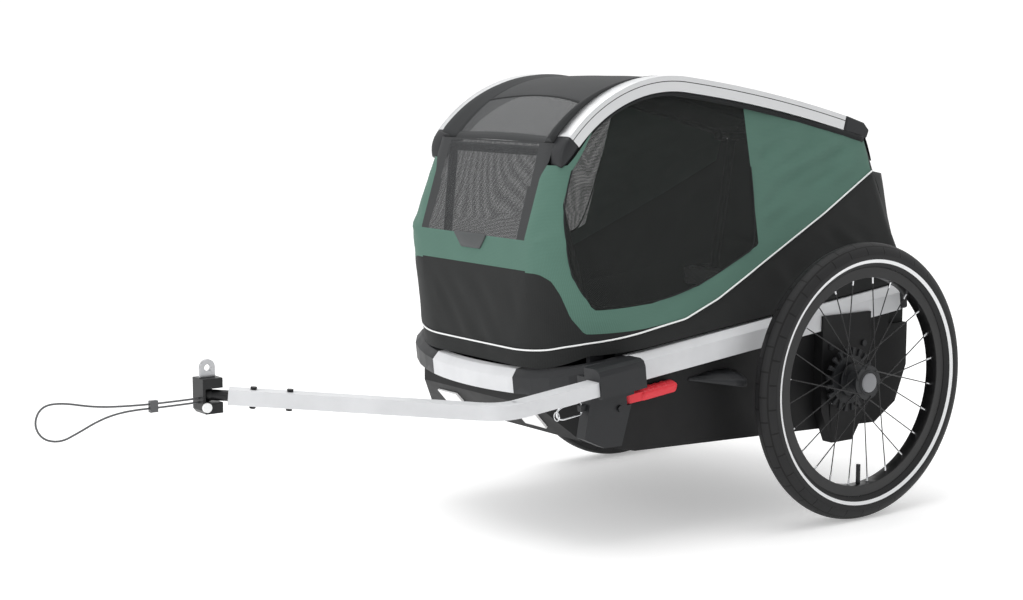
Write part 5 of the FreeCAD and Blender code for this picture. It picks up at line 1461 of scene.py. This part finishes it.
@dataclass
class Roof:
    """Cloth between the rails: mesh up to a curved seam, then solid cloth, with bound edges."""

    half: float = 160.5
    depth: float = 6.0
    crown: float = 5.0
    border: float = 30.0
    start: float = -12.0
    grid: tuple[int, int] = (150, 46)
    fold_mm: float = 1.2
    fold_form: Row = (110.0, 80.0, 1.3)
    seam: float = 104.0
    seam_bow: float = 10.0
    seam_half: float = 112.0
    tail: float = 56.0
    tail_lap: float = 6.0
    # Groove in the rail's outer face, drawn as a dark strip of painted shade.
    groove_depth: float = 8.5
    groove_width: float = 1.6
    groove_reach: Pair = (-1.0, 0.25)
    webbing: Pair = (-8.0, 16.0)
    seam_width: float = 6.0
    band_profile: tuple[Pair, ...] = ((-0.5, 0.2), (-0.45, 1.4), (0.0, 1.8), (0.45, 1.4), (0.5, 0.2))
    band_inset: float = 2.0
    band_steps: int = 40
    edge_corners: tuple[Row, ...] = (
        (127.0, 7.0, 0.0), (158.0, 34.0, 0.0), (159.6, 32.0, 0.0), (159.6, 3.0, 1.0), (158.0, 0.0, 1.0),
        (154.0, 0.0, 1.0), (146.0, 1.5, 0.72), (135.0, 4.0, 0.2), (127.0, 5.0, 0.0))
    rises: tuple[Pair, ...] = (
        (-46.0, 7.0), (0.0, 12.0), (60.0, 9.0), (140.0, 3.5), (220.0, 0.0), (500.0, -1.0))
    trim_depths: Pair = (0.3, 7.5)
    trim_reach: Pair = (-10.0, -5.0)
    trim_growth: float = 4.0
    trim_cover: float = 1.8
    trim_start: float = 3.0
    strip_steps: int = 80
    strip_round: float = 0.25
    flap_foot: Pair = (176.0, 632.0)
    flap_widths: tuple[Pair, ...] = ((680.0, 192.0), (692.0, 160.0))
    flap_gap: float = 7.0
    flap_wave: float = 2.0
    flap_form: Row = (60.0, 90.0, 7.7)
    flap_grid: tuple[int, int] = (14, 40)
    cap_length: float = 46.0
    cap_shares: Row = (0.0, 0.15, 0.35, 0.55, 0.7, 0.82, 0.91, 0.97, 1.0)
    cap_lap: float = 1.0
    cap_droop: Pair = (20.0, 2.6)
    cap_chin: float = 3.0
    cap_taper: float = 0.3
    cap_power: int = 4
    cap_round: float = 0.42
    cap_corners: int = 28

    def cloth(self) -> None:
        """One continuous sheet along the rails."""
        lengthwise, across = self.grid
        rings: list[list[Vector]] = []
        coordinates: list[Pair] = []
        zones: list[int] = []
        whole = RAIL.length() + self.tail - self.start
        runs = [self.start + whole * k / lengthwise for k in range(lengthwise + 1)]
        for run in runs:
            x, z = RAIL.point(run, self.depth)
            ring: list[Vector] = []
            for k in range(across + 1):
                y = self.half * (2 * k / across - 1)
                inside = 1 - (y / self.half) ** 2
                fold = self.fold_mm * inside * ripple(run, y, self.fold_form)
                ring.append(spot(x, y, z + self.crown * inside + fold))
                coordinates.append((run * MM, y * MM))
            rings.append(ring)
        finishes = [ROOF_MESH, GREY_CLOTH, GREY_CLOTH]
        open_mesh, edging, solid = range(len(finishes))
        for run in runs[:-1]:
            for k in range(across):
                y = self.half * (2 * (k + 0.5) / across - 1)
                seam = self.seam - self.seam_bow * (y / self.seam_half) ** 2
                inner = open_mesh if run < seam else solid
                zones.append(edging if abs(y) > self.half - self.border else inner)
        points, faces = loft(rings, False, False)
        piece = mesh_piece("roof_cloth", points, faces, finishes, zones, coordinates)
        settle(piece, "roof", "roof_mesh", "roof_canopy")
        declare_sheet(piece)

    def band(self, name: str, run: float, width: float, finish: Finish) -> None:
        """Flat band sewn across the roof cloth.

        Args:
            name: Name of the piece.
            run: Distance of its middle from the rails' front end.
            width: Width of the band.
            finish: Finish of the band.
        """
        rings: list[list[Vector]] = []
        for along, rise in self.band_profile:
            ring: list[Vector] = []
            for k in range(self.band_steps + 1):
                y = (self.half - self.band_inset) * (2 * k / self.band_steps - 1)
                bow = self.seam_bow * (y / self.seam_half) ** 2 if run > 0 else 0.0
                x, z = RAIL.point(run - bow + along * width, self.depth)
                ring.append(spot(x, y, z + self.crown * (1 - (y / self.half) ** 2) + rise))
            rings.append(ring)
        points, faces = loft(rings, False, False)
        coordinates = [(point.x, point.y) for point in points]
        settle(mesh_piece(name, points, faces, [finish], None, coordinates), "roof", "black_cloth")

    def edge_section(self, run: float) -> list[Pair]:
        """Section of the cloth's stiffened edge, which stands highest at the front.

        Args:
            run: Distance along the rail.

        Returns:
            Its corners, as strip needs them.
        """
        rise = between(run, self.rises)
        return [(y, depth - share * rise) for y, depth, share in self.edge_corners]

    def trim_section(self, run: float) -> list[Pair]:
        """Section of the bound edge under the rail, which covers the side cloth's upper edge.

        Args:
            run: Distance along the rail.

        Returns:
            Its corners, as strip needs them.
        """
        high, low = (RAIL.height + depth for depth in self.trim_depths)
        middle = RAIL.spread / 2
        outer = middle + RAIL.width / 2 + self.trim_reach[1]
        if run > RAIL.front_length():
            low = between(run, ((RAIL.front_length(), low), (RAIL.length(), low + self.trim_growth)))
            cloth_half = CABIN.ring(RAIL.point(run, low)[1])[2]
            outer = max(outer, cloth_half + self.trim_cover)
        return self.oblong(middle + self.trim_reach[0], outer, high, low)

    def strip(
        self,
        name: str,
        section: Callable[[float], Sequence[Pair]],
        finish: Finish,
        slot: str,
        start: float = 0.0,
        behind: float = 0.0,
    ) -> None:
        """Strip along both rails.

        Args:
            name: Start of the pieces' names.
            section: Gives the corners of its section at a distance along the rail, as distances from the
                middle plane and depths below the rails' top.
            finish: Finish of the strip.
            slot: Material slot.
            start: Distance of its front end from the rails' front end, negative beside the caps.
            behind: Distance of its rear end behind the rails' rear end.
        """
        whole = RAIL.length() + behind - start
        runs = [start + whole * k / self.strip_steps for k in range(self.strip_steps + 1)]
        for side in Side:
            word, sign = side.value
            rings: list[list[Vector]] = []
            for run in runs:
                places = [(y, RAIL.point(run, depth)) for y, depth in section(run)]
                rings.append([spot(x, sign * y, z) for y, (x, z) in places])
            points, faces = loft(rings, True, True)
            faces = flipped(faces) if side is Side.LEFT else faces
            coordinates = [(point.x, point.z) for point in points]
            settle(mesh_piece(f"{name}_{word}", points, faces, [finish], None, coordinates), "roof", slot)

    def oblong(self, inner: float, outer: float, high: float, low: float) -> list[Pair]:
        """Section with two rounded outer edges.

        Args:
            inner: Distance of its inner face from the middle plane.
            outer: Distance of its outer face.
            high: Depth of its upper face below the rails' top.
            low: Depth of its lower face.

        Returns:
            Its corners, as strip needs them.
        """
        soft = min(outer - inner, low - high) * self.strip_round
        return [(inner, low), (outer - soft, low), (outer, low - soft), (outer, high + soft),
                (outer - soft, high), (inner, high)]

    def groove_section(self, run: float) -> list[Pair]:
        """Section of the dark strip, painted shade in the groove of the rail's outer face, the same at
        every run along the rail.
        """
        inner, outer = (RAIL.spread / 2 + RAIL.width / 2 + reach for reach in self.groove_reach)
        return self.oblong(inner, outer, self.groove_depth, self.groove_depth + self.groove_width)

    def front_caps(self) -> None:
        """Rounded caps on the rails' front ends, with noses that droop."""
        droop, droop_power = self.cap_droop
        shells: list[Shell] = []
        for side in (-1, 1):
            rings: list[list[Vector]] = []
            for share in self.cap_shares:
                end = share ** self.cap_power
                top = droop * share ** droop_power - self.cap_lap
                low = RAIL.height + self.cap_lap - self.cap_chin * end
                half = (RAIL.width / 2 + self.cap_lap) * (1 - self.cap_taper * end)
                ring: list[Vector] = []
                for k in range(self.cap_corners):
                    across, up = rounded_square(math.tau * k / self.cap_corners, self.cap_round)
                    x, z = RAIL.point(-self.cap_length * share, (top + low) / 2 - up * (low - top) / 2)
                    ring.append(spot(x, side * (RAIL.spread / 2 - across * half), z))
                rings.append(ring)
            points, faces = loft(rings, True, True)
            shells.append((points, faces if side < 0 else flipped(faces)))
        points, faces = join(shells)
        piece = mesh_piece("rail_nose_caps", points, faces, [NYLON])
        settle(piece, "roof", "black_plastic", "rail_front_caps")

    def rear_flap(self) -> None:
        """Tail of the roof cloth, which hangs behind the cabin and overlaps its rear panel."""
        top_x, top_z = RAIL.point(RAIL.length() + self.tail, self.depth)
        foot_x, foot_z = self.flap_foot
        levels, across = self.flap_grid
        rings: list[list[Vector]] = []
        coordinates: list[Pair] = []
        for row in range(levels + 1):
            share = row / levels
            x = top_x + (foot_x - top_x) * math.sin(share * math.pi / 2)
            z = top_z + (foot_z - top_z) * share
            ring: list[Vector] = []
            for k in range(across + 1):
                y = between(z, self.flap_widths) * (2 * k / across - 1)
                wave = self.flap_wave * share * ripple(y, z, self.flap_form)
                crown = self.crown * max(1 - (y / self.half) ** 2, 0.0) * (1 - share)
                ring.append(spot(min(x, CABIN.rear_face(z, y) + self.flap_gap) + wave, y, z + crown))
                coordinates.append((y * MM, z * MM))
            rings.append(ring)
        points, faces = loft(rings, False, False)
        piece = mesh_piece("roof_rear_flap", points, faces, [GREY_CLOTH], None, coordinates)
        settle(piece, "roof", "black_cloth")
        declare_sheet(piece)

    def dress(self) -> None:
        """Make the roof's cloth, its bands, the dark strips of painted shade in the rails' grooves and the
        trim under the rails.
        """
        behind = self.tail - self.tail_lap
        self.cloth()
        self.rear_flap()
        self.front_caps()
        self.band("roof_front_webbing", *self.webbing, GREY_CLOTH)
        self.band("roof_seam", self.seam, self.seam_width, BINDING)
        # Painted shade: a dark strip lies in the rails' grooves, where shade falls.
        self.strip("rail_groove_painted_shade", self.groove_section, NYLON, "black_plastic")
        trim_start = self.trim_start - self.cap_length
        self.strip("rail_trim", self.trim_section, BINDING, "black_cloth", trim_start, behind)
        self.strip("roof_edge", self.edge_section, GREY_CLOTH, "black_cloth", self.start, behind)


# Wheels

@dataclass
class Wheel:
    """Spoked wheel: tyre with a reflective band, spoke nipples and a domed release button."""

    side: Side
    radius: float = 250.0
    section: float = 47.0
    rim_radius: float = 207.0
    band: Pair = (215.0, 221.0)
    tread_turns: tuple[int, ...] = tuple(range(0, 91, 9))
    rim_inside: float = 188.0
    spokes: int = 24
    spoke_lead: float = 55.0
    spoke_circle: float = 26.0
    flange_spacing: float = 34.0
    flange_thickness: float = 4.0
    spoke_diameter: float = 2.0
    nipple_profile: tuple[Pair, ...] = ((0.0, 2.4), (2.0, 2.4), (3.0, 1.9), (12.0, 1.7), (12.6, 1.2))
    nipple_sunk: float = 0.5
    nipple_sides: int = 8
    button_radius: float = 17.5
    button_round: float = 1.6
    button_edge: float = 3.0
    button_dome: float = 2.0
    dome_share: float = 0.97
    dome_turns: tuple[int, ...] = (20, 40, 60, 75, 85)
    button_segments: int = 40
    pole: float = 0.05
    segments: int = 144

    def __post_init__(self) -> None:
        """Find the wheel's middle from its CAD tyre."""
        self.word, self.sign = self.side.value
        low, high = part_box(f"tyre_{self.word}")
        self.middle = (Vector(low) + Vector(high)) / 2
        self.body = f"wheel_{self.word}"

    def turned(self, radius: float, out: float, angle: float) -> Vector:
        """Point at a radius and angle, and a distance out from the wheel's middle plane."""
        flat = Vector((math.cos(angle), 0, math.sin(angle))) * radius
        return self.middle + (flat + Vector((0, self.sign * out, 0))) * MM

    def lathe(self, profile: Sequence[Pair], segments: int) -> Shell:
        """Turn a profile about the axle.

        Args:
            profile: Radius and distance out of each of its corners.
            segments: Number of steps round the axle.

        Returns:
            All points and the faces.
        """
        turns = [math.tau * k / segments for k in range(segments)]
        rings = [[self.turned(radius, out, turn) for turn in turns] for radius, out in profile]
        points, faces = loft(rings, True, False)
        return points, faces if self.sign > 0 else flipped(faces)

    def tyre(self) -> None:
        """Round tyre between its beads, with the band's faces in their own finish."""
        ring = self.section / 2
        core = self.radius - ring
        bead = math.acos((self.rim_radius - core) / ring)
        band = [math.acos((edge - core) / ring) for edge in self.band]
        tread = [math.radians(degrees) for degrees in self.tread_turns]
        half = sorted({*tread, *band, (bead + band[0]) / 2, bead})
        angles = [-angle for angle in half[:0:-1]] + half
        turns = [math.tau * k / self.segments for k in range(self.segments + 1)]
        rings: list[list[Vector]] = []
        zones: list[int] = []
        coordinates: list[Pair] = []
        for angle in angles:
            radius, out = core + ring * math.cos(angle), ring * math.sin(angle)
            rings.append([self.turned(radius, out, turn) for turn in turns])
            coordinates += [(turn * self.radius * MM, angle * ring * MM) for turn in turns]
        for first, second in zip(angles, angles[1:]):
            banded = band[1] < abs(first + second) / 2 < band[0]
            zones += [int(banded)] * self.segments
        points, faces = loft(rings, False, False)
        faces = faces if self.sign > 0 else flipped(faces)
        piece = mesh_piece(f"tread_tyre_{self.word}", points, faces, [RUBBER, BEADED], zones, coordinates)
        settle(piece, self.body, "tyre", f"tyre_{self.word}")

    def nipples(self) -> None:
        """Plated nipples where the spokes enter the rim."""
        rounds = [math.tau * n / self.nipple_sides for n in range(self.nipple_sides)]
        shells: list[Shell] = []
        for k in range(self.spokes):
            turn = -math.tau * (k + 0.5) / self.spokes
            flange_side = 1 if k % 2 else -1
            lead_side = 1 if (k // 2) % 2 else -1
            face = self.flange_thickness / 2 + self.spoke_diameter / 2
            out = -(flange_side * self.flange_spacing / 2 + lead_side * face)
            hub_turn = turn - lead_side * math.radians(self.spoke_lead)
            end = self.turned(self.rim_inside + self.nipple_sunk, 0, turn)
            start = self.turned(self.spoke_circle, out, hub_turn)
            line = (start - end).normalized()
            across = line.orthogonal().normalized()
            beside = line.cross(across)
            spread = [across * math.cos(angle) + beside * math.sin(angle) for angle in rounds]
            rings = [
                [end + (line * along + way * radius) * MM for way in spread]
                for along, radius in self.nipple_profile]
            points, faces = loft(rings, True, True)
            shells.append((points, flipped(faces)))
        points, faces = join(shells)
        settle(mesh_piece(f"spoke_nipples_{self.word}", points, faces, [CHROME]), self.body, "steel")

    def button(self) -> None:
        """Domed release button in the hub's outer end."""
        ends = [abs(corner[1] - self.middle.y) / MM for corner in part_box(f"release_button_{self.word}")]
        near, far = min(ends), max(ends)
        radius, soft = self.button_radius, self.button_round
        dome_radius = radius * self.dome_share
        dome_foot = far - self.button_dome
        profile = [(self.pole, near), (radius - soft, near), (radius, near + soft),
                   (radius, far - self.button_edge), (dome_radius, dome_foot)]
        for degrees in self.dome_turns:
            turn = math.radians(degrees)
            profile.append((dome_radius * math.cos(turn), dome_foot + self.button_dome * math.sin(turn)))
        profile.append((self.pole, far))
        points, faces = self.lathe(profile, self.button_segments)
        piece = mesh_piece(f"button_dome_{self.word}", points, faces, [GREY])
        settle(piece, f"button_{self.word}", "button", f"release_button_{self.word}")

    def dress(self) -> None:
        """Make the wheel's pieces."""
        self.tyre()
        self.nipples()
        self.button()


# Floor mat

@dataclass
class FloorMat:
    """Foam mat in the tub, sewn through in rows."""

    thickness: float = 8.0
    row_mm: float = 84.0
    edge_mm: float = 10.0
    seam_mm: float = 5.0
    seam_share: float = 0.4
    weld_m: float = 1e-5
    columns: int = 60
    rows: int = 96

    def dress(self) -> None:
        """Make the mat as one closed cushion over the CAD mat's place."""
        low, high = (Vector(corner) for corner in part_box("floor_mat"))
        fall = high.z - low.z - self.thickness * MM
        half = self.thickness * MM / 2
        rings: list[list[Vector]] = []
        coordinates: list[Pair] = []
        length, width = high.x - low.x, high.y - low.y
        for upper in (False, True):
            for column in range(self.columns + 1):
                share = column / self.columns
                along = share if upper else 1 - share
                ring: list[Vector] = []
                for row in range(self.rows + 1):
                    y = low.y + width * row / self.rows
                    x = low.x + length * along
                    edge = min(x - low.x, high.x - x, y - low.y, high.y - y) / (self.edge_mm * MM)
                    crown = math.sqrt(1 - (1 - min(max(edge, 0.0), 1.0)) ** 2)
                    seam = abs(((y - low.y) / MM + self.row_mm / 2) % self.row_mm - self.row_mm / 2)
                    dent = 1 - self.seam_share * math.exp(-(seam / self.seam_mm) ** 2)
                    rise = half * crown * dent if upper else -half * crown
                    ring.append(Vector((x, y, high.z - half - fall * along + rise)))
                    coordinates.append((x, y))
                rings.append(ring)
        points, faces = loft(rings, False, False)
        mat = mesh_piece("quilted_mat", points, faces, [MAT_CLOTH], None, coordinates)
        self.close(mat)
        settle(mat, "chassis", "mat", "floor_mat")

    def close(self, piece: bpy.types.Object) -> None:
        """Weld the mat's two faces along their edges and turn its faces outward.

        Args:
            piece: The mat.
        """
        work = bmesh.new()
        work.from_mesh(piece.data)
        bmesh.ops.remove_doubles(work, verts=work.verts, dist=self.weld_m)
        bmesh.ops.recalc_face_normals(work, faces=work.faces)
        work.to_mesh(piece.data)
        work.free()


# Hitch, arm and small fittings

@dataclass
class SafetyCable:
    """Steel rope from the hitch cup, out in one loop and back through a ferrule."""

    diameter: float = 3.2
    length: float = 560.0
    cup_face: float = -1172.55
    ball_height: float = 311.68
    side: float = -69.95
    route: tuple[Pair, ...] = (
        (0.0, -4.4), (-55.5, -5.1), (-112.5, -3.8), (-167.5, 0.3), (-220.5, 13.3), (-251.5, 11.3),
        (-263.5, -13.7), (-251.5, -38.2), (-223.5, -45.7), (-196.5, -35.2), (-158.5, -18.2),
        (-118.5, -10.7), (-57.5, -11.5), (0.0, -10.7))

    def dress(self) -> None:
        """Make the cable on one smooth curve through its route."""
        points = [spot(self.cup_face + x, self.side, self.ball_height + z) for x, z in self.route]
        cable = spline_object("cable_loop", points, self.diameter * MM / 2, 4)
        cable.data.materials.append(WARDROBE.get(CABLE))
        settle(cable, "hitch", "cable", "safety_cable")


@dataclass
class SmallTrim:
    """Grip of the lever, fins of the side guards and the bail's ring."""

    slope: float = 6.3
    ridges: int = 3
    ridge_mm: float = 1.3
    ridge_start: float = 0.28
    ridge_run: float = 0.54
    grip_length: float = 82.0
    grip_half: Pair = (11.5, 9.0)
    grip_round: float = 9.0
    grip_least: float = 0.3
    grip_power: float = 0.55
    grip_over: float = 2.0
    grip_out: float = 1.0
    grip_drop: float = 6.0
    grip_lean: float = 14.0
    grip_grid: tuple[int, int] = (72, 28)
    tub_half: float = 268.0
    fin_sunk: float = 1.0
    fin_round: float = 2.6
    fin_round_share: float = 0.4
    fin_corner: float = 0.3
    fin_shoulder: Pair = (0.6, 0.5)
    fin_steps: int = 48
    fin_reach: tuple[Pair, ...] = (
        (0.0, 0.06), (0.66, 0.95), (0.78, 1.0), (0.88, 0.93), (0.95, 0.72), (0.99, 0.4), (1.0, 0.1))
    fin_heights: tuple[tuple[Pair, ...], ...] = (
        ((0.0, 17.0), (0.85, 9.5), (1.0, 9.5)),
        ((0.0, 18.0), (0.45, 26.5), (0.75, 26.5), (1.0, 18.0)),
        ((0.0, 13.0), (0.85, -3.5), (1.0, -3.0)))
    ring_radius: float = 7.0
    ring_wire: float = 0.9
    ring_behind: float = 1.7
    ring_drop: float = 6.0
    ring_steps: int = 24

    def ridge(self, share: float) -> float:
        """Height of the ridges across the grip.

        Args:
            share: Share of the grip's length passed.

        Returns:
            The height in millimetres, 0 beyond the ridges.
        """
        run = share - self.ridge_start
        if not 0 < run < self.ridge_run:
            return 0.0
        return self.ridge_mm * max(math.sin(math.tau * run * (self.ridges / self.ridge_run)), 0.0)

    def lever_grip(self) -> None:
        """Thick finger grip moulded over the lever, with ridges across its upper face."""
        low, high = (Vector(corner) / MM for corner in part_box("release_lever"))
        rise = math.tan(math.radians(self.slope))
        lean = math.radians(self.grip_lean)
        steps, corners = self.grip_grid
        y = (low.y + high.y) / 2 - self.grip_out
        rings: list[list[Vector]] = []
        for k in range(steps + 1):
            share = k / steps
            x = high.x + self.grip_over - self.grip_length * (1 - share)
            end = min(min(share, 1 - share) * self.grip_length / self.grip_round, 1.0)
            size = max(math.sqrt(1 - (1 - end) ** 2), self.grip_least)
            middle = Vector((x, y, high.z - self.grip_drop - (high.x - x) * rise))
            ring: list[Vector] = []
            for n in range(corners):
                turn = math.tau * n / corners
                across, up = rounded_square(turn, self.grip_power)
                across = across * self.grip_half[0] * size
                up = up * self.grip_half[1] * size + self.ridge(share) * max(math.sin(turn), 0.0) ** 0.5
                beside = across * math.cos(lean) - up * math.sin(lean)
                above = across * math.sin(lean) + up * math.cos(lean)
                ring.append((middle + Vector((0, beside, above))) * MM)
            rings.append(ring)
        points, faces = loft(rings, True, True)
        settle(mesh_piece("lever_grip", points, faces, [RED]), "lever", "red")

    def guard_fins(self) -> None:
        """Side guards as fins: high at the tub, thin and round at their outer edge."""
        low, high = (Vector(corner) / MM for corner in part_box("side_guards"))
        shells: list[Shell] = []
        for side in (-1, 1):
            rings: list[list[Vector]] = []
            for k in range(self.fin_steps + 1):
                share = k / self.fin_steps
                reach = (high.y - self.tub_half) * between(share, self.fin_reach)
                edge, ridge, foot = (low.z + between(share, line) for line in self.fin_heights)
                soft = min(self.fin_round, min(edge - foot, reach) * self.fin_round_share)
                cut = soft * self.fin_corner
                shoulder = (reach * self.fin_shoulder[0], edge + (ridge - edge) * self.fin_shoulder[1])
                section = (
                    (-self.fin_sunk, foot), (reach - soft, foot), (reach - cut, foot + cut),
                    (reach, foot + soft), (reach, edge - soft), (reach - cut, edge - cut),
                    (reach - soft, edge), shoulder, (-self.fin_sunk, ridge))
                x = low.x + (high.x - low.x) * share
                rings.append([Vector((x, side * (self.tub_half + out), z)) * MM for out, z in section])
            points, faces = loft(rings, True, True)
            shells.append((points, faces if side > 0 else flipped(faces)))
        points, faces = join(shells)
        settle(mesh_piece("guard_fins", points, faces, [NYLON]), "chassis", "tub", "side_guards")

    def bail_ring(self) -> None:
        """Small split ring hanging from the bail's tip."""
        low, high = (Vector(corner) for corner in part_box("wire_bail"))
        height = (low.z + high.z) / 2 - self.ring_drop * MM
        middle = Vector((low.x + self.ring_behind * MM, (low.y + high.y) / 2, height))
        turns = [math.tau * k / self.ring_steps for k in range(self.ring_steps + 1)]
        radius = self.ring_radius * MM
        points = [middle + Vector((0, math.sin(turn), math.cos(turn))) * radius for turn in turns]
        ring = smooth_tube("bail_ring", points, self.ring_wire * MM, CHROME)
        settle(ring, "bail", "chrome")

    def dress(self) -> None:
        """Make the small trim."""
        self.lever_grip()
        self.guard_fins()
        self.bail_ring()


# CAD pieces that stay

@dataclass
class CadDressing:
    """Finishes and softened edges on the CAD nodes that stay in view."""

    edge_mm: float = 1.0
    edge_segments: int = 2
    round_mm: float = 4.0
    round_segments: int = 4
    most_share: float = 0.16
    weld_mm: float = 0.02
    sharpest: float = 32.0
    plain: tuple[str, ...] = ("spokes_left", "spokes_right", "wire_bail", "safety_cable")
    rounded: tuple[str, ...] = ("rail_rear_caps", "rear_corners")
    coated: tuple[str, ...] = (
        "tow_arm_tube", "side_tube_left", "side_tube_right", "front_cross_tube", "rear_cross_tube")

    def dress(self) -> None:
        """Give every CAD node its slot's material and a small round on its edges."""
        slots = {part["node"]: part["material_slot"] for part in frame["record"]["subparts"]}
        for name, node in frame["nodes"].items():
            finish = COATED if name in self.coated else SLOT_FINISHES[slots[name]]
            node.data.materials.clear()
            node.data.materials.append(WARDROBE.get(finish))
            if name not in self.plain and not node.hide_render:
                self.soften(node)
        log.info("%d CAD nodes dressed", len(frame["nodes"]))

    def soften(self, node: bpy.types.Object) -> None:
        """Round a node's sharp edges by modifiers, which leave its mesh as it is.

        Args:
            node: The CAD node.
        """
        low, high = (Vector(corner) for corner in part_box(node.name))
        least = min(high - low)
        rounded = node.name in self.rounded
        weld = node.modifiers.new("Weld", "WELD")
        weld.merge_threshold = self.weld_mm * MM
        bevel = node.modifiers.new("Edges", "BEVEL")
        bevel.width = min((self.round_mm if rounded else self.edge_mm) * MM, least * self.most_share)
        bevel.segments = self.round_segments if rounded else self.edge_segments
        bevel.limit_method = "ANGLE"
        bevel.angle_limit = math.radians(self.sharpest)
        bevel.harden_normals = True


# Studio

@dataclass(frozen=True)
class Lamp:
    """Large soft lamp: its name, place and window in metres, and its power in watts."""

    name: str
    place: Row
    size: Pair
    watts: float


@dataclass
class Studio:
    """White light table, soft light from behind, in front and above, and the photograph's viewpoint."""

    camera_place: Row = (-1.97168, -2.60812, 0.82897)
    right: Row = (0.8072, -0.5903, 0.0)
    up: Row = (0.07745, 0.1059, 0.9914)
    ahead: Row = (0.5852, 0.8003, -0.1312)
    focal_px: float = 1850.0
    image_width_px: float = 1023.0
    sensor_mm: float = 36.0
    wall: float = 1.08
    room: float = 0.55
    wall_side: Row = (0.3, 0.954, 0.0)
    wall_fade: Pair = (-0.7, 0.35)
    table_half: float = 30.0
    table_glow: float = 0.31
    aim: Row = (0.0, 0.0, 0.4)
    lamps: tuple[Lamp, ...] = (
        Lamp("Overhead", (-0.2, 0.0, 3.4), (3.4, 2.6), 45.0),
        Lamp("Front", (-3.6, -0.9, 1.9), (2.0, 1.6), 34.0))

    def camera(self) -> None:
        """Camera at the photograph's viewpoint."""
        data = bpy.data.cameras.new("Photo")
        data.sensor_width = self.sensor_mm
        data.lens = self.focal_px / self.image_width_px * self.sensor_mm
        data.dof.use_dof = False
        camera = bpy.data.objects.new("Photo", data)
        turn = Matrix((self.right, self.up, [-v for v in self.ahead])).transposed().to_4x4()
        camera.matrix_world = Matrix.Translation(self.camera_place) @ turn
        bpy.context.scene.collection.objects.link(camera)
        bpy.context.scene.camera = camera

    def floor(self) -> None:
        """Light table that runs far behind the trailer."""
        half = self.table_half
        places = ((-half, -half), (half, -half), (half, half), (-half, half))
        corners = [Vector((x, y, 0.0)) for x, y in places]
        table = LitAcrylic("Opal acrylic table", "#f2f2f2", self.table_glow)
        mesh_piece("light_table", corners, [[0, 1, 2, 3]], [table])

    def surroundings(self) -> None:
        """White wall behind the trailer, which dims round to the room on the other side."""
        world = bpy.data.worlds.new("White studio")
        world.use_nodes = True
        tree = world.node_tree
        direction = add_node(tree, "ShaderNodeTexCoord").outputs["Generated"]
        facing = add_node(
            tree, "ShaderNodeVectorMath", {1: self.wall_side}, {0: direction}, operation="DOT_PRODUCT")
        dimmest, brightest = self.wall_fade
        light = add_node(
            tree, "ShaderNodeMapRange",
            {"From Min": dimmest, "From Max": brightest, "To Min": self.room, "To Max": self.wall},
            {"Value": facing.outputs["Value"]})
        tree.links.new(light.outputs["Result"], tree.nodes["Background"].inputs["Strength"])
        tree.nodes["Background"].inputs["Color"].default_value = linear("#ffffff")
        bpy.context.scene.world = world

    def light(self, lamp: Lamp) -> None:
        """Set up a lamp that points at the trailer.

        Args:
            lamp: The lamp.
        """
        data = bpy.data.lights.new(lamp.name, "AREA")
        data.shape = "RECTANGLE"
        data.size, data.size_y = lamp.size
        data.energy = lamp.watts
        piece = bpy.data.objects.new(lamp.name, data)
        piece.location = lamp.place
        piece.rotation_euler = (Vector(self.aim) - Vector(lamp.place)).to_track_quat("-Z", "Y").to_euler()
        bpy.context.scene.collection.objects.link(piece)

    def dress(self) -> None:
        """Set the camera, the floor and the lights."""
        self.camera()
        self.floor()
        self.surroundings()
        for lamp in self.lamps:
            self.light(lamp)
        bpy.context.scene.view_settings.view_transform = "Standard"


def main() -> None:
    """Build the pieces in order."""
    logging.basicConfig(level=logging.INFO, format="%(message)s")
    wheels = [Wheel(side) for side in Side]
    for part in (Studio(), SafetyCable(), CABIN, Roof(), *wheels, FloorMat(), SmallTrim()):
        part.dress()
        log.info("%s done", type(part).__name__)
    CadDressing().dress()


if __name__ == "__main__":
    main()
